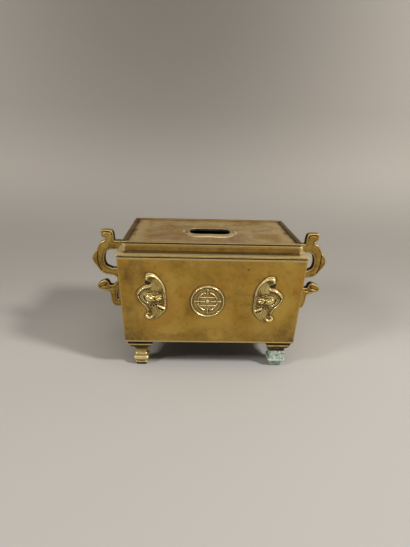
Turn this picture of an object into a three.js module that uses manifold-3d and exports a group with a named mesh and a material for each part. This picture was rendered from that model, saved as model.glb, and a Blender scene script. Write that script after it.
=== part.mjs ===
// Rectangular brass incense burner on four feet, with a lift-off lid and scroll handles.
// X runs along the length, Y along the depth (front is -Y) and Z up from the surface it stands on.
// Run with the npm packages three and manifold-3d; the default export is the whole object.
import * as THREE from 'three';
import { mergeVertices } from 'three/addons/utils/BufferGeometryUtils.js';
import Module from 'manifold-3d';

const wasm = await Module();
wasm.setup();

// Body, in millimetres
const rimLength = 150; // outside of the rim, left to right
const rimDepth = 98; // outside of the rim, front to back
const footHeight = 25.6;
const floorThickness = 1.6;
const wallHeight = 72.4; // from the floor plate to the rim
const wallThickness = 2;
const wallLean = 3.7; // how far each wall draws in from the rim down to the floor

// Rim: a flat flange on top of the walls, with a groove under its outer edge
const rimOverhang = 1; // how far the rim stands out over the top of the walls
const rimFlangeWidth = 9;
const rimFlangeThickness = 1.7;
const rimEdgeHeight = 1.8;
const rimGrooveHeight = 1.2;
const rimGrooveDepth = 1.4; // in from the rim's outside

// Lid
const lidInset = 4.4; // from the rim's edge to the lid's
const lidStandOff = 2; // shadow gap between the rim and the lid's band
const lidHeight = 7.2; // band, from its lower edge to the top of the border
const lidBandThickness = 1.8;
const lidBorderWidth = 4; // raised border around the top
const lidBorderThickness = 1;
const lidPlateThickness = 1.4;
const lidBeadProud = 0.35; // how far the bead under the border stands out from the band
const lidBeadHeight = 0.9;
const lidBeadDrop = 1.3; // from the top of the border to the top of the bead
const lidGrooveDepth = 0.5;
const lidSkirtThickness = 1.5;
const lidSkirtDrop = 6; // how far the skirt reaches below the rim's flange
const lidSkirtClearance = 0.5; // between the skirt and the rim's opening
const lidSeatThickness = 3.5;

// Vent in the lid: an eight-lobed opening with blunt ends and a raised frame around it
const ventLength = 34.6;
const ventDepth = 20.4;
const ventFrameWidth = [5.8, 7]; // at the ends, and at the front and back
const ventFrameThickness = 0.8;
const ventCentre = [-1.1, -4.8];
const ventLobes = 8;
const ventLobeDepth = 0.1;
const ventBluntness = 3; // 2 would make it an ellipse
const ventPoints = 64;

// Handles: flat cast plates in line with the length, drawn as x out from the middle and z up
const handleThickness = 7;
const handlePinDiameter = 3;
const handlePinDepth = 6; // how far a pin reaches into the handle
const handlePinDrops = [35.6, 2.2]; // from the top of the walls down to each pin

// Feet
const footPadWidth = 20.8;
const footPadLip = 1; // how far the pad stands out over the moulding under it
const footEdge = 1.6; // from the foot's pad to the side of the floor plate
const footRivetDiameter = 4;
const footRivetDepth = 8;

// Ornaments soldered and riveted to the front and back walls
const batThickness = 1.4; // of the plate that everything on the bat rises from
const roundelDiameter = 27.4;
const roundelThickness = 1.2;
const roundelPlace = [-2.6, 34.9]; // across from the wall's middle, and down from its top
const batFromEnd = { left: 27.4, right: 29.6 }; // in from the end of the wall to each bat
const batDrop = { left: 31.8, right: 33.4 };
const ornamentRivetDiameter = 2.2;
const batRivets = [[3.5, 7], [4, -9]];
const roundelRivets = [[-8.6, 0], [8.6, 0]];

// Fits
const seamGap = 0.3; // between a sloping wall and what is fixed to it
const boreClearance = 0.3; // around every rivet and pin
const rivetHeadRatio = 2; // head diameter over shank diameter
const rivetHeadThickness = 1.2;
const ornamentRivetHead = 0.9;
const ornamentRivetReach = 0.8; // how far a rivet reaches into the back of an ornament
const roundSides = 12;

// Heights and half sizes that follow from the values above
const halfLength = rimLength / 2;
const halfDepth = rimDepth / 2;
const floorTop = footHeight + floorThickness;
const wallTop = floorTop + wallHeight;
const rimTop = wallTop + rimGrooveHeight + rimEdgeHeight;
const lidBottom = rimTop + lidStandOff;
const lidTop = lidBottom + lidHeight;
const plateTop = lidTop - lidBorderThickness;
const plateBottom = plateTop - lidPlateThickness;
const leanAngle = Math.atan(wallLean / (wallTop - footHeight));
const wallInset = (z) => rimOverhang + (wallTop - z) * Math.tan(leanAngle);
const handlePinHeights = handlePinDrops.map((drop) => wallTop - drop);
const batPlaces = {
  left: [batFromEnd.left - halfLength, batDrop.left],
  right: [halfLength - batFromEnd.right, batDrop.right],
};

const brass = new THREE.Color(0x8f6f30);
const finishes = {
  wall: { color: brass, metalness: 0.9, roughness: 0.42 },
  rim: { color: new THREE.Color(0x95804f), metalness: 0.9, roughness: 0.4 },
  lid: { color: new THREE.Color(0x85704c), metalness: 0.85, roughness: 0.5 },
  handle: { color: new THREE.Color(0x836b3b), metalness: 0.85, roughness: 0.5 },
  foot: { color: new THREE.Color(0xa8935f), metalness: 0.85, roughness: 0.45 },
  verdigris: { color: new THREE.Color(0x94a191), metalness: 0.1, roughness: 0.85 },
  ornament: { color: new THREE.Color(0xc8b482), metalness: 0.95, roughness: 0.35 },
  rivet: { color: new THREE.Color(0x7d6434), metalness: 0.85, roughness: 0.5 },
};

const burner = new THREE.Group();

function addPiece(parent, name, geometry, finish) {
  geometry.computeVertexNormals();
  const piece = new THREE.Mesh(geometry, new THREE.MeshStandardMaterial(finishes[finish]));
  piece.name = name;
  parent.add(piece);
  return piece;
}

// Booleans

function solidOf(geometry) {
  const bare = geometry.clone();
  bare.deleteAttribute('normal');
  bare.deleteAttribute('uv');
  const merged = mergeVertices(bare, 1e-4);
  return new wasm.Manifold(new wasm.Mesh({
    numProp: 3,
    vertProperties: new Float32Array(merged.attributes.position.array),
    triVerts: new Uint32Array(merged.index.array),
  }));
}

function geometryOf(solid) {
  const mesh = solid.getMesh();
  const geometry = new THREE.BufferGeometry();
  geometry.setAttribute('position', new THREE.BufferAttribute(mesh.vertProperties, 3));
  geometry.setIndex(new THREE.BufferAttribute(mesh.triVerts, 1));
  return geometry;
}

function joined(geometries) {
  return geometryOf(geometries.map(solidOf).reduce((all, next) => all.add(next)));
}

function cut(geometry, cutters) {
  return geometryOf(cutters.map(solidOf).reduce((rest, next) => rest.subtract(next), solidOf(geometry)));
}

// Shapes that follow the rectangle of the rim

const corners = [[-1, -1], [1, -1], [1, 1], [-1, 1]];

function cornerPoint([signX, signY], [inset, z]) {
  return [signX * (halfLength - inset), signY * (halfDepth - inset), z];
}

function meshOf(points, triangles) {
  const geometry = new THREE.BufferGeometry();
  geometry.setAttribute('position', new THREE.Float32BufferAttribute(points.flat(), 3));
  geometry.setIndex(triangles.flat());
  return geometry;
}

// A mitred frame: the section is a loop of [inset, z], going up on the outside
function mitredFrame(section) {
  const count = section.length;
  const points = corners.flatMap((corner) => section.map((point) => cornerPoint(corner, point)));
  const triangles = [];
  for (let side = 0; side < corners.length; side += 1) {
    const near = side * count;
    const far = ((side + 1) % corners.length) * count;
    for (let step = 0; step < count; step += 1) {
      const next = (step + 1) % count;
      triangles.push([near + step, far + step, far + next], [near + step, far + next, near + next]);
    }
  }
  return meshOf(points, triangles);
}

// One side of such a frame, closed by its mitres; its section has four corners
function mitredPanel(side, section) {
  const ends = [corners[side], corners[(side + 1) % corners.length]];
  const points = ends.flatMap((corner) => section.map((point) => cornerPoint(corner, point)));
  const triangles = [[0, 1, 2], [0, 2, 3], [4, 6, 5], [4, 7, 6]];
  for (let step = 0; step < 4; step += 1) {
    const next = (step + 1) % 4;
    triangles.push([step, 4 + step, 4 + next], [step, 4 + next, next]);
  }
  return meshOf(points, triangles);
}

// A solid slab between two heights, its sides following the lean of the walls
function leaningSlab(low, high) {
  const points = [low, high].flatMap((z) => corners.map((corner) => cornerPoint(corner, [wallInset(z), z])));
  const triangles = [[0, 2, 1], [0, 3, 2], [4, 5, 6], [4, 6, 7]];
  for (let step = 0; step < 4; step += 1) {
    const next = (step + 1) % 4;
    triangles.push([step, next, 4 + next], [step, 4 + next, 4 + step]);
  }
  return meshOf(points, triangles);
}

// A group on the outside of the front or back wall, its Z pointing straight out of the wall
function onWall(side, [x, drop]) {
  const z = wallTop - drop;
  const turn = new THREE.Group();
  turn.rotation.z = side === 'back' ? Math.PI : 0;
  const place = new THREE.Group();
  place.position.set(x, wallInset(z) - halfDepth, z);
  place.rotation.x = Math.PI / 2 + leanAngle;
  turn.add(place);
  turn.updateMatrixWorld(true);
  return { turn, place };
}

function roundBar(diameter, length, sides = roundSides) {
  const bar = new THREE.CylinderGeometry(diameter / 2, diameter / 2, length, sides);
  return bar.rotateX(Math.PI / 2);
}

// A rivet along Z: its head below zero, its shank from zero up to the given reach
function rivet(diameter, reach, headThickness) {
  const headRadius = (diameter * rivetHeadRatio) / 2;
  const profile = [
    [0, -headThickness],
    [headRadius * 0.7, -headThickness],
    [headRadius, -headThickness * 0.4],
    [headRadius, 0],
    [diameter / 2, 0],
    [diameter / 2, reach],
    [0, reach],
  ];
  const outline = profile.map(([radius, z]) => new THREE.Vector2(radius, z));
  return new THREE.LatheGeometry(outline, roundSides).rotateX(Math.PI / 2);
}

function boreOf(diameter, length) {
  return roundBar(diameter + 2 * boreClearance, length);
}

// Handles

// Runs of the outline, each [out from the rim's side, up from the top of the walls]
const handleHook = [[8.7, 6.3], [9.6, 9.2], [11.5, 10.8], [18.1, 10.9], [19.5, 10.3], [19.4, 8.8]];
const handleHookEnd = [[19.2, 6.9], [18, 5.8], [15.6, 5.2], [15.3, 3.6], [16.5, 2]];
const handleLoop = [[19.8, 0.3], [21.5, -1.6], [23.1, -4.6], [23.9, -7.1]];
const handleBump = [[26.2, -9.6], [27.8, -12.5], [28.2, -15.3], [27.1, -18.3], [24.9, -21.4]];
const handleLoopFoot = [[23, -24.3], [20.8, -27], [17.1, -29], [11.8, -29.8]];
const handleNeck = [[9.3, -30.5], [7.5, -32.3], [7.3, -34.6], [8.9, -37.8], [11.5, -39.8]];
const handleCurlInside = [[13.9, -39.4], [14.8, -37.2], [16.4, -35.4]];
const handleCurl = [[18.6, -35.1], [21.7, -36.4], [23.9, -37.9], [25.4, -40]];
const handleCurlUnder = [[24.7, -42.4], [22.3, -43.5], [18.5, -44.8], [14.6, -46.3]];
const handleBlock = [[14.1, -48.8], [13.7, -52.7], [12.6, -56.7], [10.7, -59.2], [7.4, -59.9]];
const handleEye = [
  [9.9, -6.2], [12.6, -6.4], [15.2, -7.7], [16.8, -10.4], [17.6, -14.2], [17.4, -17.8], [15.8, -21.2],
  [11, -23.5],
];
const handleEyeTop = -6.2;
const handleEyeFoot = -23.5;
const handleTop = 1.5;
const handleFoot = -60;
const handleHookFoot = 8.4;
const handleEyeFootEnd = 11;
const handleSlot = { x: 7.3, z: -49.6, width: 1.8, height: 7 };

function handleOutline(side) {
  const to = ([x, z]) => new THREE.Vector2(side * (halfLength + x), wallTop + z);
  const atWall = (z) => to([seamGap - wallInset(wallTop + z), z]);
  const outline = new THREE.Shape();
  const spline = (points) => outline.splineThru(points.map(to));
  const line = (point) => outline.lineTo(point.x, point.y);
  outline.moveTo(...to([seamGap, handleTop]).toArray());
  line(to([handleHookFoot, handleTop]));
  spline(handleHook);
  spline(handleHookEnd);
  spline(handleLoop);
  spline(handleBump);
  spline(handleLoopFoot);
  spline(handleNeck);
  spline(handleCurlInside);
  spline(handleCurl);
  spline(handleCurlUnder);
  spline(handleBlock);
  line(atWall(handleFoot));
  line(atWall(handleEyeFoot));
  line(to([handleEyeFootEnd, handleEyeFoot]));
  spline([...handleEye].reverse().slice(1));
  line(atWall(handleEyeTop));
  line(atWall(0));
  line(to([seamGap, 0]));
  const { x, z, width, height } = handleSlot;
  const slotCorners = corners.map(([signX, signZ]) => [x + (signX * width) / 2, z + (signZ * height) / 2]);
  outline.holes.push(new THREE.Path(slotCorners.map(to)));
  return outline;
}

function pinAlongX(side, z, geometry) {
  const start = halfLength - wallInset(z);
  return geometry.rotateY((side * Math.PI) / 2).translate(side * start, 0, z);
}

function addHandle(name, side) {
  const plate = new THREE.ExtrudeGeometry(handleOutline(side), {
    depth: handleThickness,
    bevelEnabled: false,
    curveSegments: 3,
  });
  plate.rotateX(Math.PI / 2).translate(0, handleThickness / 2, 0);
  const bores = handlePinHeights.map((z) => {
    const depth = seamGap + handlePinDepth + boreClearance;
    return pinAlongX(side, z, boreOf(handlePinDiameter, 2 * depth));
  });
  addPiece(burner, name, cut(plate, bores), 'handle');
  const through = wallThickness / Math.cos(leanAngle);
  const headRise = handlePinDiameter * rivetHeadRatio * 0.5 * Math.tan(leanAngle);
  const headSeat = through + headRise + seamGap / 2;
  handlePinHeights.forEach((z, index) => {
    const pin = rivet(handlePinDiameter, headSeat + seamGap + handlePinDepth, rivetHeadThickness);
    const label = index === 0 ? 'lower' : 'upper';
    addPiece(burner, `${name}_pin_${label}`, pinAlongX(side, z, pin.translate(0, 0, -headSeat)), 'rivet');
  });
}

// Body

function ornamentsOf() {
  return [
    { name: 'roundel', place: roundelPlace, rivets: roundelRivets },
    { name: 'bat_left', place: batPlaces.left, rivets: batRivets },
    { name: 'bat_right', place: batPlaces.right, rivets: batRivets.map(([u, v]) => [-u, v]) },
  ];
}

function wallSection() {
  return [
    [wallInset(floorTop), floorTop],
    [rimOverhang, wallTop],
    [rimOverhang + wallThickness, wallTop],
    [wallInset(floorTop) + wallThickness, floorTop],
  ];
}

function addLongWall(name, side, index) {
  const bores = ornamentsOf().flatMap(({ place, rivets }) => rivets.map(([u, v]) => {
    const bore = boreOf(ornamentRivetDiameter, 4 * wallThickness).translate(u, v, 0);
    return bore.applyMatrix4(onWall(side, place).place.matrixWorld);
  }));
  addPiece(burner, name, cut(mitredPanel(index, wallSection()), bores), 'wall');
}

function addEndWall(name, side, index) {
  const bores = handlePinHeights.map((z) => {
    return pinAlongX(side, z, boreOf(handlePinDiameter, 4 * wallThickness));
  });
  addPiece(burner, name, cut(mitredPanel(index, wallSection()), bores), 'wall');
}

function footPlaces() {
  const inset = wallInset(footHeight) + footEdge + footPadWidth / 2;
  return [
    { name: 'front_left', x: inset - halfLength, y: inset - halfDepth, finish: 'foot' },
    { name: 'front_right', x: halfLength - inset, y: inset - halfDepth, finish: 'verdigris' },
    { name: 'back_left', x: inset - halfLength, y: halfDepth - inset, finish: 'foot' },
    { name: 'back_right', x: halfLength - inset, y: halfDepth - inset, finish: 'foot' },
  ];
}

function addFloor() {
  const bores = footPlaces().map(({ x, y }) => {
    return boreOf(footRivetDiameter, 4 * floorThickness).translate(x, y, footHeight);
  });
  addPiece(burner, 'floor_plate', cut(leaningSlab(footHeight, floorTop), bores), 'wall');
}

function addRim() {
  const edgeBottom = rimTop - rimEdgeHeight;
  const flangeBottom = rimTop - rimFlangeThickness;
  addPiece(burner, 'rim_frame', mitredFrame([
    [rimGrooveDepth, wallTop],
    [rimGrooveDepth, edgeBottom],
    [0, edgeBottom],
    [0, rimTop],
    [rimFlangeWidth, rimTop],
    [rimFlangeWidth, flangeBottom],
    [rimOverhang + wallThickness, flangeBottom],
    [rimOverhang + wallThickness, wallTop],
  ]), 'rim');
}

// Feet: a square section all the way down, drawn as half widths going up

function footProfile() {
  const pad = footPadWidth / 2;
  const dish = pad - footPadLip;
  const mouldings = [
    [0, 0], [4.3, 0], [4.5, 2.1], [5.4, 2.5], [5.4, 3.4], [4.8, 3.9], [4.8, 4.6],
    [6, 5.1], [6.5, 6.2], [6.5, 7.4], [6, 8.5], [4.9, 9], [4.9, 9.8], [5.2, 10.2], [5.2, 11.2],
    [4.8, 11.7],
  ];
  const topDown = [
    [4.8, 10.8], [5.5, 9.2], [6.8, 7.7], [8.4, 6.7], [8.4, 5.9],
    [dish, 5.5], [dish, 3.8], [pad, 3.4], [pad, 0], [0, 0],
  ];
  return [...mouldings, ...topDown.map(([half, drop]) => [half, footHeight - drop])];
}

function addFeet() {
  const outline = footProfile().map(([half, z]) => new THREE.Vector2(half * Math.SQRT2, z));
  footPlaces().forEach(({ name, x, y, finish }) => {
    const foot = new THREE.LatheGeometry(outline, 4).rotateY(Math.PI / 4).rotateX(Math.PI / 2);
    const depth = footRivetDepth + boreClearance;
    const bore = boreOf(footRivetDiameter, 2 * depth).translate(0, 0, footHeight);
    addPiece(burner, `foot_${name}`, cut(foot, [bore]), finish).position.set(x, y, 0);
    const shank = rivet(footRivetDiameter, floorThickness + footRivetDepth, rivetHeadThickness);
    shank.rotateX(Math.PI);
    addPiece(burner, `foot_${name}_rivet`, shank, 'rivet').position.set(x, y, floorTop);
  });
}

// Ornaments, drawn on the wall's own plane with the bat's head towards the roundel

const batStart = [1.4, 19.6];
const batLeadingEdge = [
  [4.2, 17.4], [8, 12.8], [10.6, 7], [11.6, 1.5], [12.2, -5], [12, -10.6], [8.6, -15], [4, -18.2],
];
const batLowerCurl = [
  [0.6, -20], [-2.8, -19.6], [-5.4, -18], [-5.2, -15.8], [-2.8, -14.6], [-2.9, -11.6],
];
const batTail = [
  [-4.8, -7.6], [-8, -4.2], [-10.8, -0.4], [-11.7, 3.2], [-9.8, 6], [-5.8, 9.2], [-1.6, 10.2],
];
const batUpperCurl = [[0.6, 12.4], [-1.6, 13.8], [-4.4, 14.8], [-4.9, 17.6], [-2.6, 20], batStart];
const batBody = { place: [-1.6, -0.4], half: [6.4, 3.6], rise: 1.9 };
const batHead = { place: [6.6, -0.6], half: [2.9, 2.8], rise: 1.5 };
const batTailBand = { place: [-5.6, 1.6], half: [5.2, 5.6], rise: 0.6 };
const batCurls = [[-1.7, 17], [-2.2, -17.2]];
const batCurlHalf = 2.4;
const batCurlRise = 1.1;
const batRidgeEnds = [[1, 18.6], [1.5, -18.9]]; // the roll goes between them, along the leading edge
const batRidgeWidth = 1.9;
const batRidgeProud = 0.3; // how far the roll stands out past the plate's edge
const batRidgeRise = 0.9;
const reliefRoot = 0.4; // raised parts start this far up inside the plate

function flatSolid(shape, bottom, top, segments = 2) {
  const solid = new THREE.ExtrudeGeometry(shape, {
    depth: top - bottom,
    bevelEnabled: false,
    curveSegments: segments,
  });
  return solid.translate(0, 0, bottom);
}

function ovalSolid([u, v], [halfU, halfV], bottom, top) {
  const dome = new THREE.SphereGeometry(1, 12, 6, 0, 2 * Math.PI, 0, Math.PI);
  const rise = (top - bottom) / 2;
  return dome.rotateX(Math.PI / 2).scale(halfU, halfV, rise).translate(u, v, bottom + rise);
}

function ornamentBores(rivets) {
  return rivets.map(([u, v]) => {
    return boreOf(ornamentRivetDiameter, 2 * (ornamentRivetReach + boreClearance / 2)).translate(u, v, 0);
  });
}

function batOutline(facing) {
  const to = ([u, v]) => new THREE.Vector2(facing * u, v);
  const shape = new THREE.Shape();
  shape.moveTo(...to(batStart).toArray());
  [batLeadingEdge, batLowerCurl, batTail, batUpperCurl].forEach((run) => shape.splineThru(run.map(to)));
  return shape;
}

function batRidge(facing) {
  const to = ([u, v]) => new THREE.Vector2(facing * u, v);
  const [start, end] = batRidgeEnds;
  const line = new THREE.SplineCurve([start, ...batLeadingEdge, end].map(to));
  const points = line.getPoints(14);
  const normals = points.map((_, index) => {
    const tangent = line.getTangent(index / (points.length - 1));
    return new THREE.Vector2(-tangent.y, tangent.x).multiplyScalar(facing);
  });
  const offset = (distance) => points.map((point, index) => {
    return point.clone().addScaledVector(normals[index], distance);
  });
  return new THREE.Shape([...offset(batRidgeProud), ...offset(-batRidgeWidth).reverse()]);
}

function batSolid(facing, rivets) {
  const raised = ({ place: [u, v], half, rise }) => {
    return ovalSolid([facing * u, v], half, reliefRoot, batThickness + rise);
  };
  const curls = batCurls.map((place) => {
    return raised({ place, half: [batCurlHalf, batCurlHalf], rise: batCurlRise });
  });
  const ridge = flatSolid(batRidge(facing), reliefRoot, batThickness + batRidgeRise);
  const body = joined([flatSolid(batOutline(facing), 0, batThickness), ridge,
    raised(batTailBand), raised(batBody), raised(batHead), ...curls]);
  return cut(body, ornamentBores(rivets));
}

// The roundel is a plain geometric fret inside two rings
const roundelRimWidth = 1.3;
const roundelRimRise = 0.9;
const roundelRingRadius = 10.6;
const roundelArcRadius = 8.3;
const roundelArcSweep = 1; // radians
const roundelBarWidth = 1;
const roundelBarRise = 0.7;
const roundelBars = [
  { u: 0, v: 3.6, length: 11.6, tall: false },
  { u: 0, v: -3.6, length: 11.6, tall: false },
  { u: -4.4, v: 0, length: 3.4, tall: false },
  { u: 4.4, v: 0, length: 3.4, tall: false },
  { u: -8.9, v: 0, length: 2.8, tall: false },
  { u: 8.9, v: 0, length: 2.8, tall: false },
  { u: 0, v: 8.4, length: 3.6, tall: true },
  { u: 0, v: -8.4, length: 3.6, tall: true },
];
const roundelBossHalf = 1.9;
const roundelSteps = 18;

function ringSolid(outerRadius, width, bottom, top, start = 0, sweep = 2 * Math.PI, sides = roundelSteps) {
  const shape = new THREE.Shape();
  if (sweep < 2 * Math.PI) {
    shape.absarc(0, 0, outerRadius, start, start + sweep, false);
    shape.absarc(0, 0, outerRadius - width, start + sweep, start, true);
  } else {
    shape.absarc(0, 0, outerRadius, 0, sweep, false);
    shape.holes.push(new THREE.Path().absarc(0, 0, outerRadius - width, 0, sweep, true));
  }
  return flatSolid(shape, bottom, top, sides);
}

function roundelSolid(rivets) {
  const radius = roundelDiameter / 2;
  const low = reliefRoot;
  const high = roundelThickness + roundelBarRise;
  const disc = new THREE.Shape().absarc(0, 0, radius, 0, 2 * Math.PI, false);
  const bars = roundelBars.map(({ u, v, length, tall }) => {
    const size = tall ? [roundelBarWidth, length] : [length, roundelBarWidth];
    return new THREE.BoxGeometry(...size, high - low).translate(u, v, (high + low) / 2);
  });
  const boss = new THREE.BoxGeometry(roundelBossHalf * Math.SQRT2, roundelBossHalf * Math.SQRT2, high - low);
  boss.rotateZ(Math.PI / 4).translate(0, 0, (high + low) / 2);
  const arcs = [0, 1, 2, 3].map((quarter) => {
    const middle = (quarter + 0.5) * (Math.PI / 2);
    const start = middle - roundelArcSweep / 2;
    return ringSolid(roundelArcRadius, roundelBarWidth, low, high, start, roundelArcSweep, 3);
  });
  return cut(joined([
    flatSolid(disc, 0, roundelThickness, roundelSteps),
    ringSolid(radius, roundelRimWidth, low, roundelThickness + roundelRimRise),
    ringSolid(roundelRingRadius, roundelBarWidth * 0.8, low, high),
    ...bars, boss, ...arcs,
  ]), ornamentBores(rivets));
}

function addOrnaments(side) {
  ornamentsOf().forEach(({ name, place, rivets }) => {
    const { turn, place: group } = onWall(side, place);
    const facing = name === 'bat_right' ? -1 : 1;
    const solid = name === 'roundel' ? roundelSolid(rivets) : batSolid(facing, rivets);
    addPiece(group, `${side}_${name}`, solid.translate(0, 0, seamGap), 'ornament');
    rivets.forEach(([u, v], index) => {
      const headSeat = wallThickness * Math.cos(leanAngle) + seamGap / 2;
      const reach = headSeat + seamGap + ornamentRivetReach;
      const pin = rivet(ornamentRivetDiameter, reach, ornamentRivetHead);
      addPiece(group, `${side}_${name}_rivet_${index + 1}`, pin.translate(u, v, -headSeat), 'rivet');
    });
    burner.add(turn);
  });
}

// Lid

function lobedPath(length, depth, Path) {
  const path = new Path();
  for (let step = 0; step < ventPoints; step += 1) {
    const angle = (step / ventPoints) * 2 * Math.PI;
    const lobe = Math.abs(Math.cos((ventLobes * angle) / 2));
    const sides = Math.abs(Math.cos(angle)) ** ventBluntness + Math.abs(Math.sin(angle)) ** ventBluntness;
    const scale = (1 - ventLobeDepth * (1 - lobe)) / sides ** (1 / ventBluntness);
    const x = ventCentre[0] + (length / 2) * scale * Math.cos(angle);
    const y = ventCentre[1] + (depth / 2) * scale * Math.sin(angle);
    if (step === 0) path.moveTo(x, y);
    else path.lineTo(x, y);
  }
  path.closePath();
  return path;
}

function addLid() {
  const lid = new THREE.Group();
  const bandInside = lidInset + lidBandThickness;
  const beadTop = lidTop - lidBeadDrop;
  const beadBottom = beadTop - lidBeadHeight;
  addPiece(lid, 'lid_border', mitredFrame([
    [lidInset + lidBeadProud, lidBottom],
    [lidInset + lidBeadProud, beadBottom],
    [lidInset, beadBottom],
    [lidInset, beadTop],
    [lidInset + lidGrooveDepth, beadTop],
    [lidInset + lidGrooveDepth, lidTop],
    [lidInset + lidBorderWidth, lidTop],
    [lidInset + lidBorderWidth, plateTop],
    [bandInside, plateTop],
    [bandInside, lidBottom],
  ]), 'lid');

  const plate = new THREE.Shape();
  corners.forEach(([signX, signY], index) => {
    const x = signX * (halfLength - bandInside);
    const y = signY * (halfDepth - bandInside);
    if (index === 0) plate.moveTo(x, y);
    else plate.lineTo(x, y);
  });
  plate.closePath();
  plate.holes.push(lobedPath(ventLength, ventDepth, THREE.Path));
  addPiece(lid, 'lid_plate', flatSolid(plate, plateBottom, plateTop), 'lid');

  const frameLength = ventLength + 2 * ventFrameWidth[0];
  const frameDepth = ventDepth + 2 * ventFrameWidth[1];
  const frame = lobedPath(frameLength, frameDepth, THREE.Shape);
  frame.holes.push(lobedPath(ventLength, ventDepth, THREE.Path));
  addPiece(lid, 'vent_frame', flatSolid(frame, plateTop, plateTop + ventFrameThickness), 'lid');

  const skirtOutside = rimFlangeWidth + lidSkirtClearance;
  const skirtInside = skirtOutside + lidSkirtThickness;
  const skirtBottom = rimTop - lidSkirtDrop;
  addPiece(lid, 'lid_seat', mitredFrame([
    [bandInside, rimTop],
    [bandInside, rimTop + lidSeatThickness],
    [skirtInside, rimTop + lidSeatThickness],
    [skirtInside, skirtBottom],
    [skirtOutside, skirtBottom],
    [skirtOutside, rimTop],
  ]), 'lid');
  burner.add(lid);
}

addFloor();
addLongWall('front_wall', 'front', 0);
addEndWall('right_wall', 1, 1);
addLongWall('back_wall', 'back', 2);
addEndWall('left_wall', -1, 3);
addRim();
addFeet();
addHandle('handle_left', -1);
addHandle('handle_right', 1);
addOrnaments('front');
addOrnaments('back');
addLid();

export default burner;
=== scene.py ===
import math
import bmesh
import bpy
import numpy as np
from mathutils import Matrix, Vector


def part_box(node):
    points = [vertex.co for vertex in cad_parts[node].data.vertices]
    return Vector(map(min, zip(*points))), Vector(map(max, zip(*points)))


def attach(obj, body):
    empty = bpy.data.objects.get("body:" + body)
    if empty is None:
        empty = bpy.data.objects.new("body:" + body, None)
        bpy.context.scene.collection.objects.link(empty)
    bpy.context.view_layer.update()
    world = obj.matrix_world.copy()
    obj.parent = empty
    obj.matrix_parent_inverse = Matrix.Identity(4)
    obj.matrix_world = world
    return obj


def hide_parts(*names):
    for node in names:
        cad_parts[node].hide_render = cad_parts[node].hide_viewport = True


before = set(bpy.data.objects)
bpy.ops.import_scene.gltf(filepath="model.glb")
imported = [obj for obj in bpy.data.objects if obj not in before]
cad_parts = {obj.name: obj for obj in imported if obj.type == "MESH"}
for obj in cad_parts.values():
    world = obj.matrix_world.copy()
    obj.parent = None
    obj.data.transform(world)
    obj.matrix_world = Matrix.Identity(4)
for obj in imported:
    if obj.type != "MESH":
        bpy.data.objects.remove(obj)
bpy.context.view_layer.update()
scene = bpy.context.scene

# Lengths are in millimetres until a mesh is finished, which then goes to metres.
# The main sizes are read from the frame's own boxes.

def boxOf(node):
    low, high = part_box(node)
    return np.array(low) * 1000, np.array(high) * 1000


rimBox, wallBox, floorBox = boxOf("rim_frame"), boxOf("front_wall"), boxOf("floor_plate")
borderBox, plateBox = boxOf("lid_border"), boxOf("lid_plate")
halfLength, halfDepth = rimBox[1][0], rimBox[1][1]
burner = {
    "footHeight": floorBox[0][2],
    "floorTop": floorBox[1][2],
    "wallTop": wallBox[1][2],
    "wallThickness": 2,
    "rimOverhang": halfLength - wallBox[1][0],
    "rimTop": rimBox[1][2],
    "lidBottom": borderBox[0][2],
    "lidTop": borderBox[1][2],
    "plateTop": plateBox[1][2],
    "plateBottom": plateBox[0][2],
}
wallLean = floorBox[0][0] + halfLength - burner["rimOverhang"]
leanAngle = math.atan(wallLean / (burner["wallTop"] - burner["floorTop"]))


def wallInset(z):
    return burner["rimOverhang"] + (burner["wallTop"] - z) * math.tan(leanAngle)


# Camera, at the photograph's height and turn

cameraSetup = {
    "place": (-0.015926, -0.348893, 0.194254),
    "lookDown": 19.385,
    "lookRight": 1.938,
    "roll": 1.576,
    "lens": 27.05,
}


def makeCamera(setup):
    down, turn, roll = (math.radians(setup[key]) for key in ("lookDown", "lookRight", "roll"))
    ahead = Vector((math.sin(turn) * math.cos(down), math.cos(turn) * math.cos(down), -math.sin(down)))
    right = Vector((math.cos(turn), -math.sin(turn), 0))
    up = right.cross(ahead)
    rolledRight = math.cos(roll) * right + math.sin(roll) * up
    rolledUp = math.cos(roll) * up - math.sin(roll) * right
    data = bpy.data.cameras.new("camera")
    data.lens = setup["lens"]
    data.clip_start = 0.01
    data.clip_end = 20
    camera = bpy.data.objects.new("camera", data)
    scene.collection.objects.link(camera)
    turnMatrix = Matrix((rolledRight, rolledUp, -ahead)).transposed().to_4x4()
    camera.matrix_world = Matrix.Translation(setup["place"]) @ turnMatrix
    scene.camera = camera


makeCamera(cameraSetup)
print("camera set")


# Node helpers

def makeNode(tree, kind, inputs=None, **settings):
    node = tree.nodes.new(kind)
    for key, value in settings.items():
        setattr(node, key, value)
    for key, value in (inputs or {}).items():
        if isinstance(value, bpy.types.NodeSocket):
            tree.links.new(value, node.inputs[key])
        else:
            node.inputs[key].default_value = value
    return node


def mathNode(tree, operation, *values, clamp=False):
    inputs = dict(enumerate(values))
    return makeNode(tree, "ShaderNodeMath", inputs, operation=operation, use_clamp=clamp).outputs[0]


def mixColour(tree, share, first, second, blend="MIX"):
    inputs = {0: share, 6: first, 7: second}
    return makeNode(tree, "ShaderNodeMix", inputs, data_type="RGBA", blend_type=blend).outputs[2]


def smoothRange(tree, value, low, high):
    inputs = {"Value": value, "From Min": low, "From Max": high}
    node = makeNode(tree, "ShaderNodeMapRange", inputs, interpolation_type="SMOOTHSTEP")
    return node.outputs["Result"]


def objectPoint(tree, shift=(0, 0, 0), scale=(1, 1, 1), turn=(0, 0, 0)):
    place = makeNode(tree, "ShaderNodeTexCoord").outputs["Object"]
    inputs = {"Vector": place, "Location": shift, "Rotation": turn, "Scale": scale}
    return makeNode(tree, "ShaderNodeMapping", inputs).outputs[0]


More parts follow.
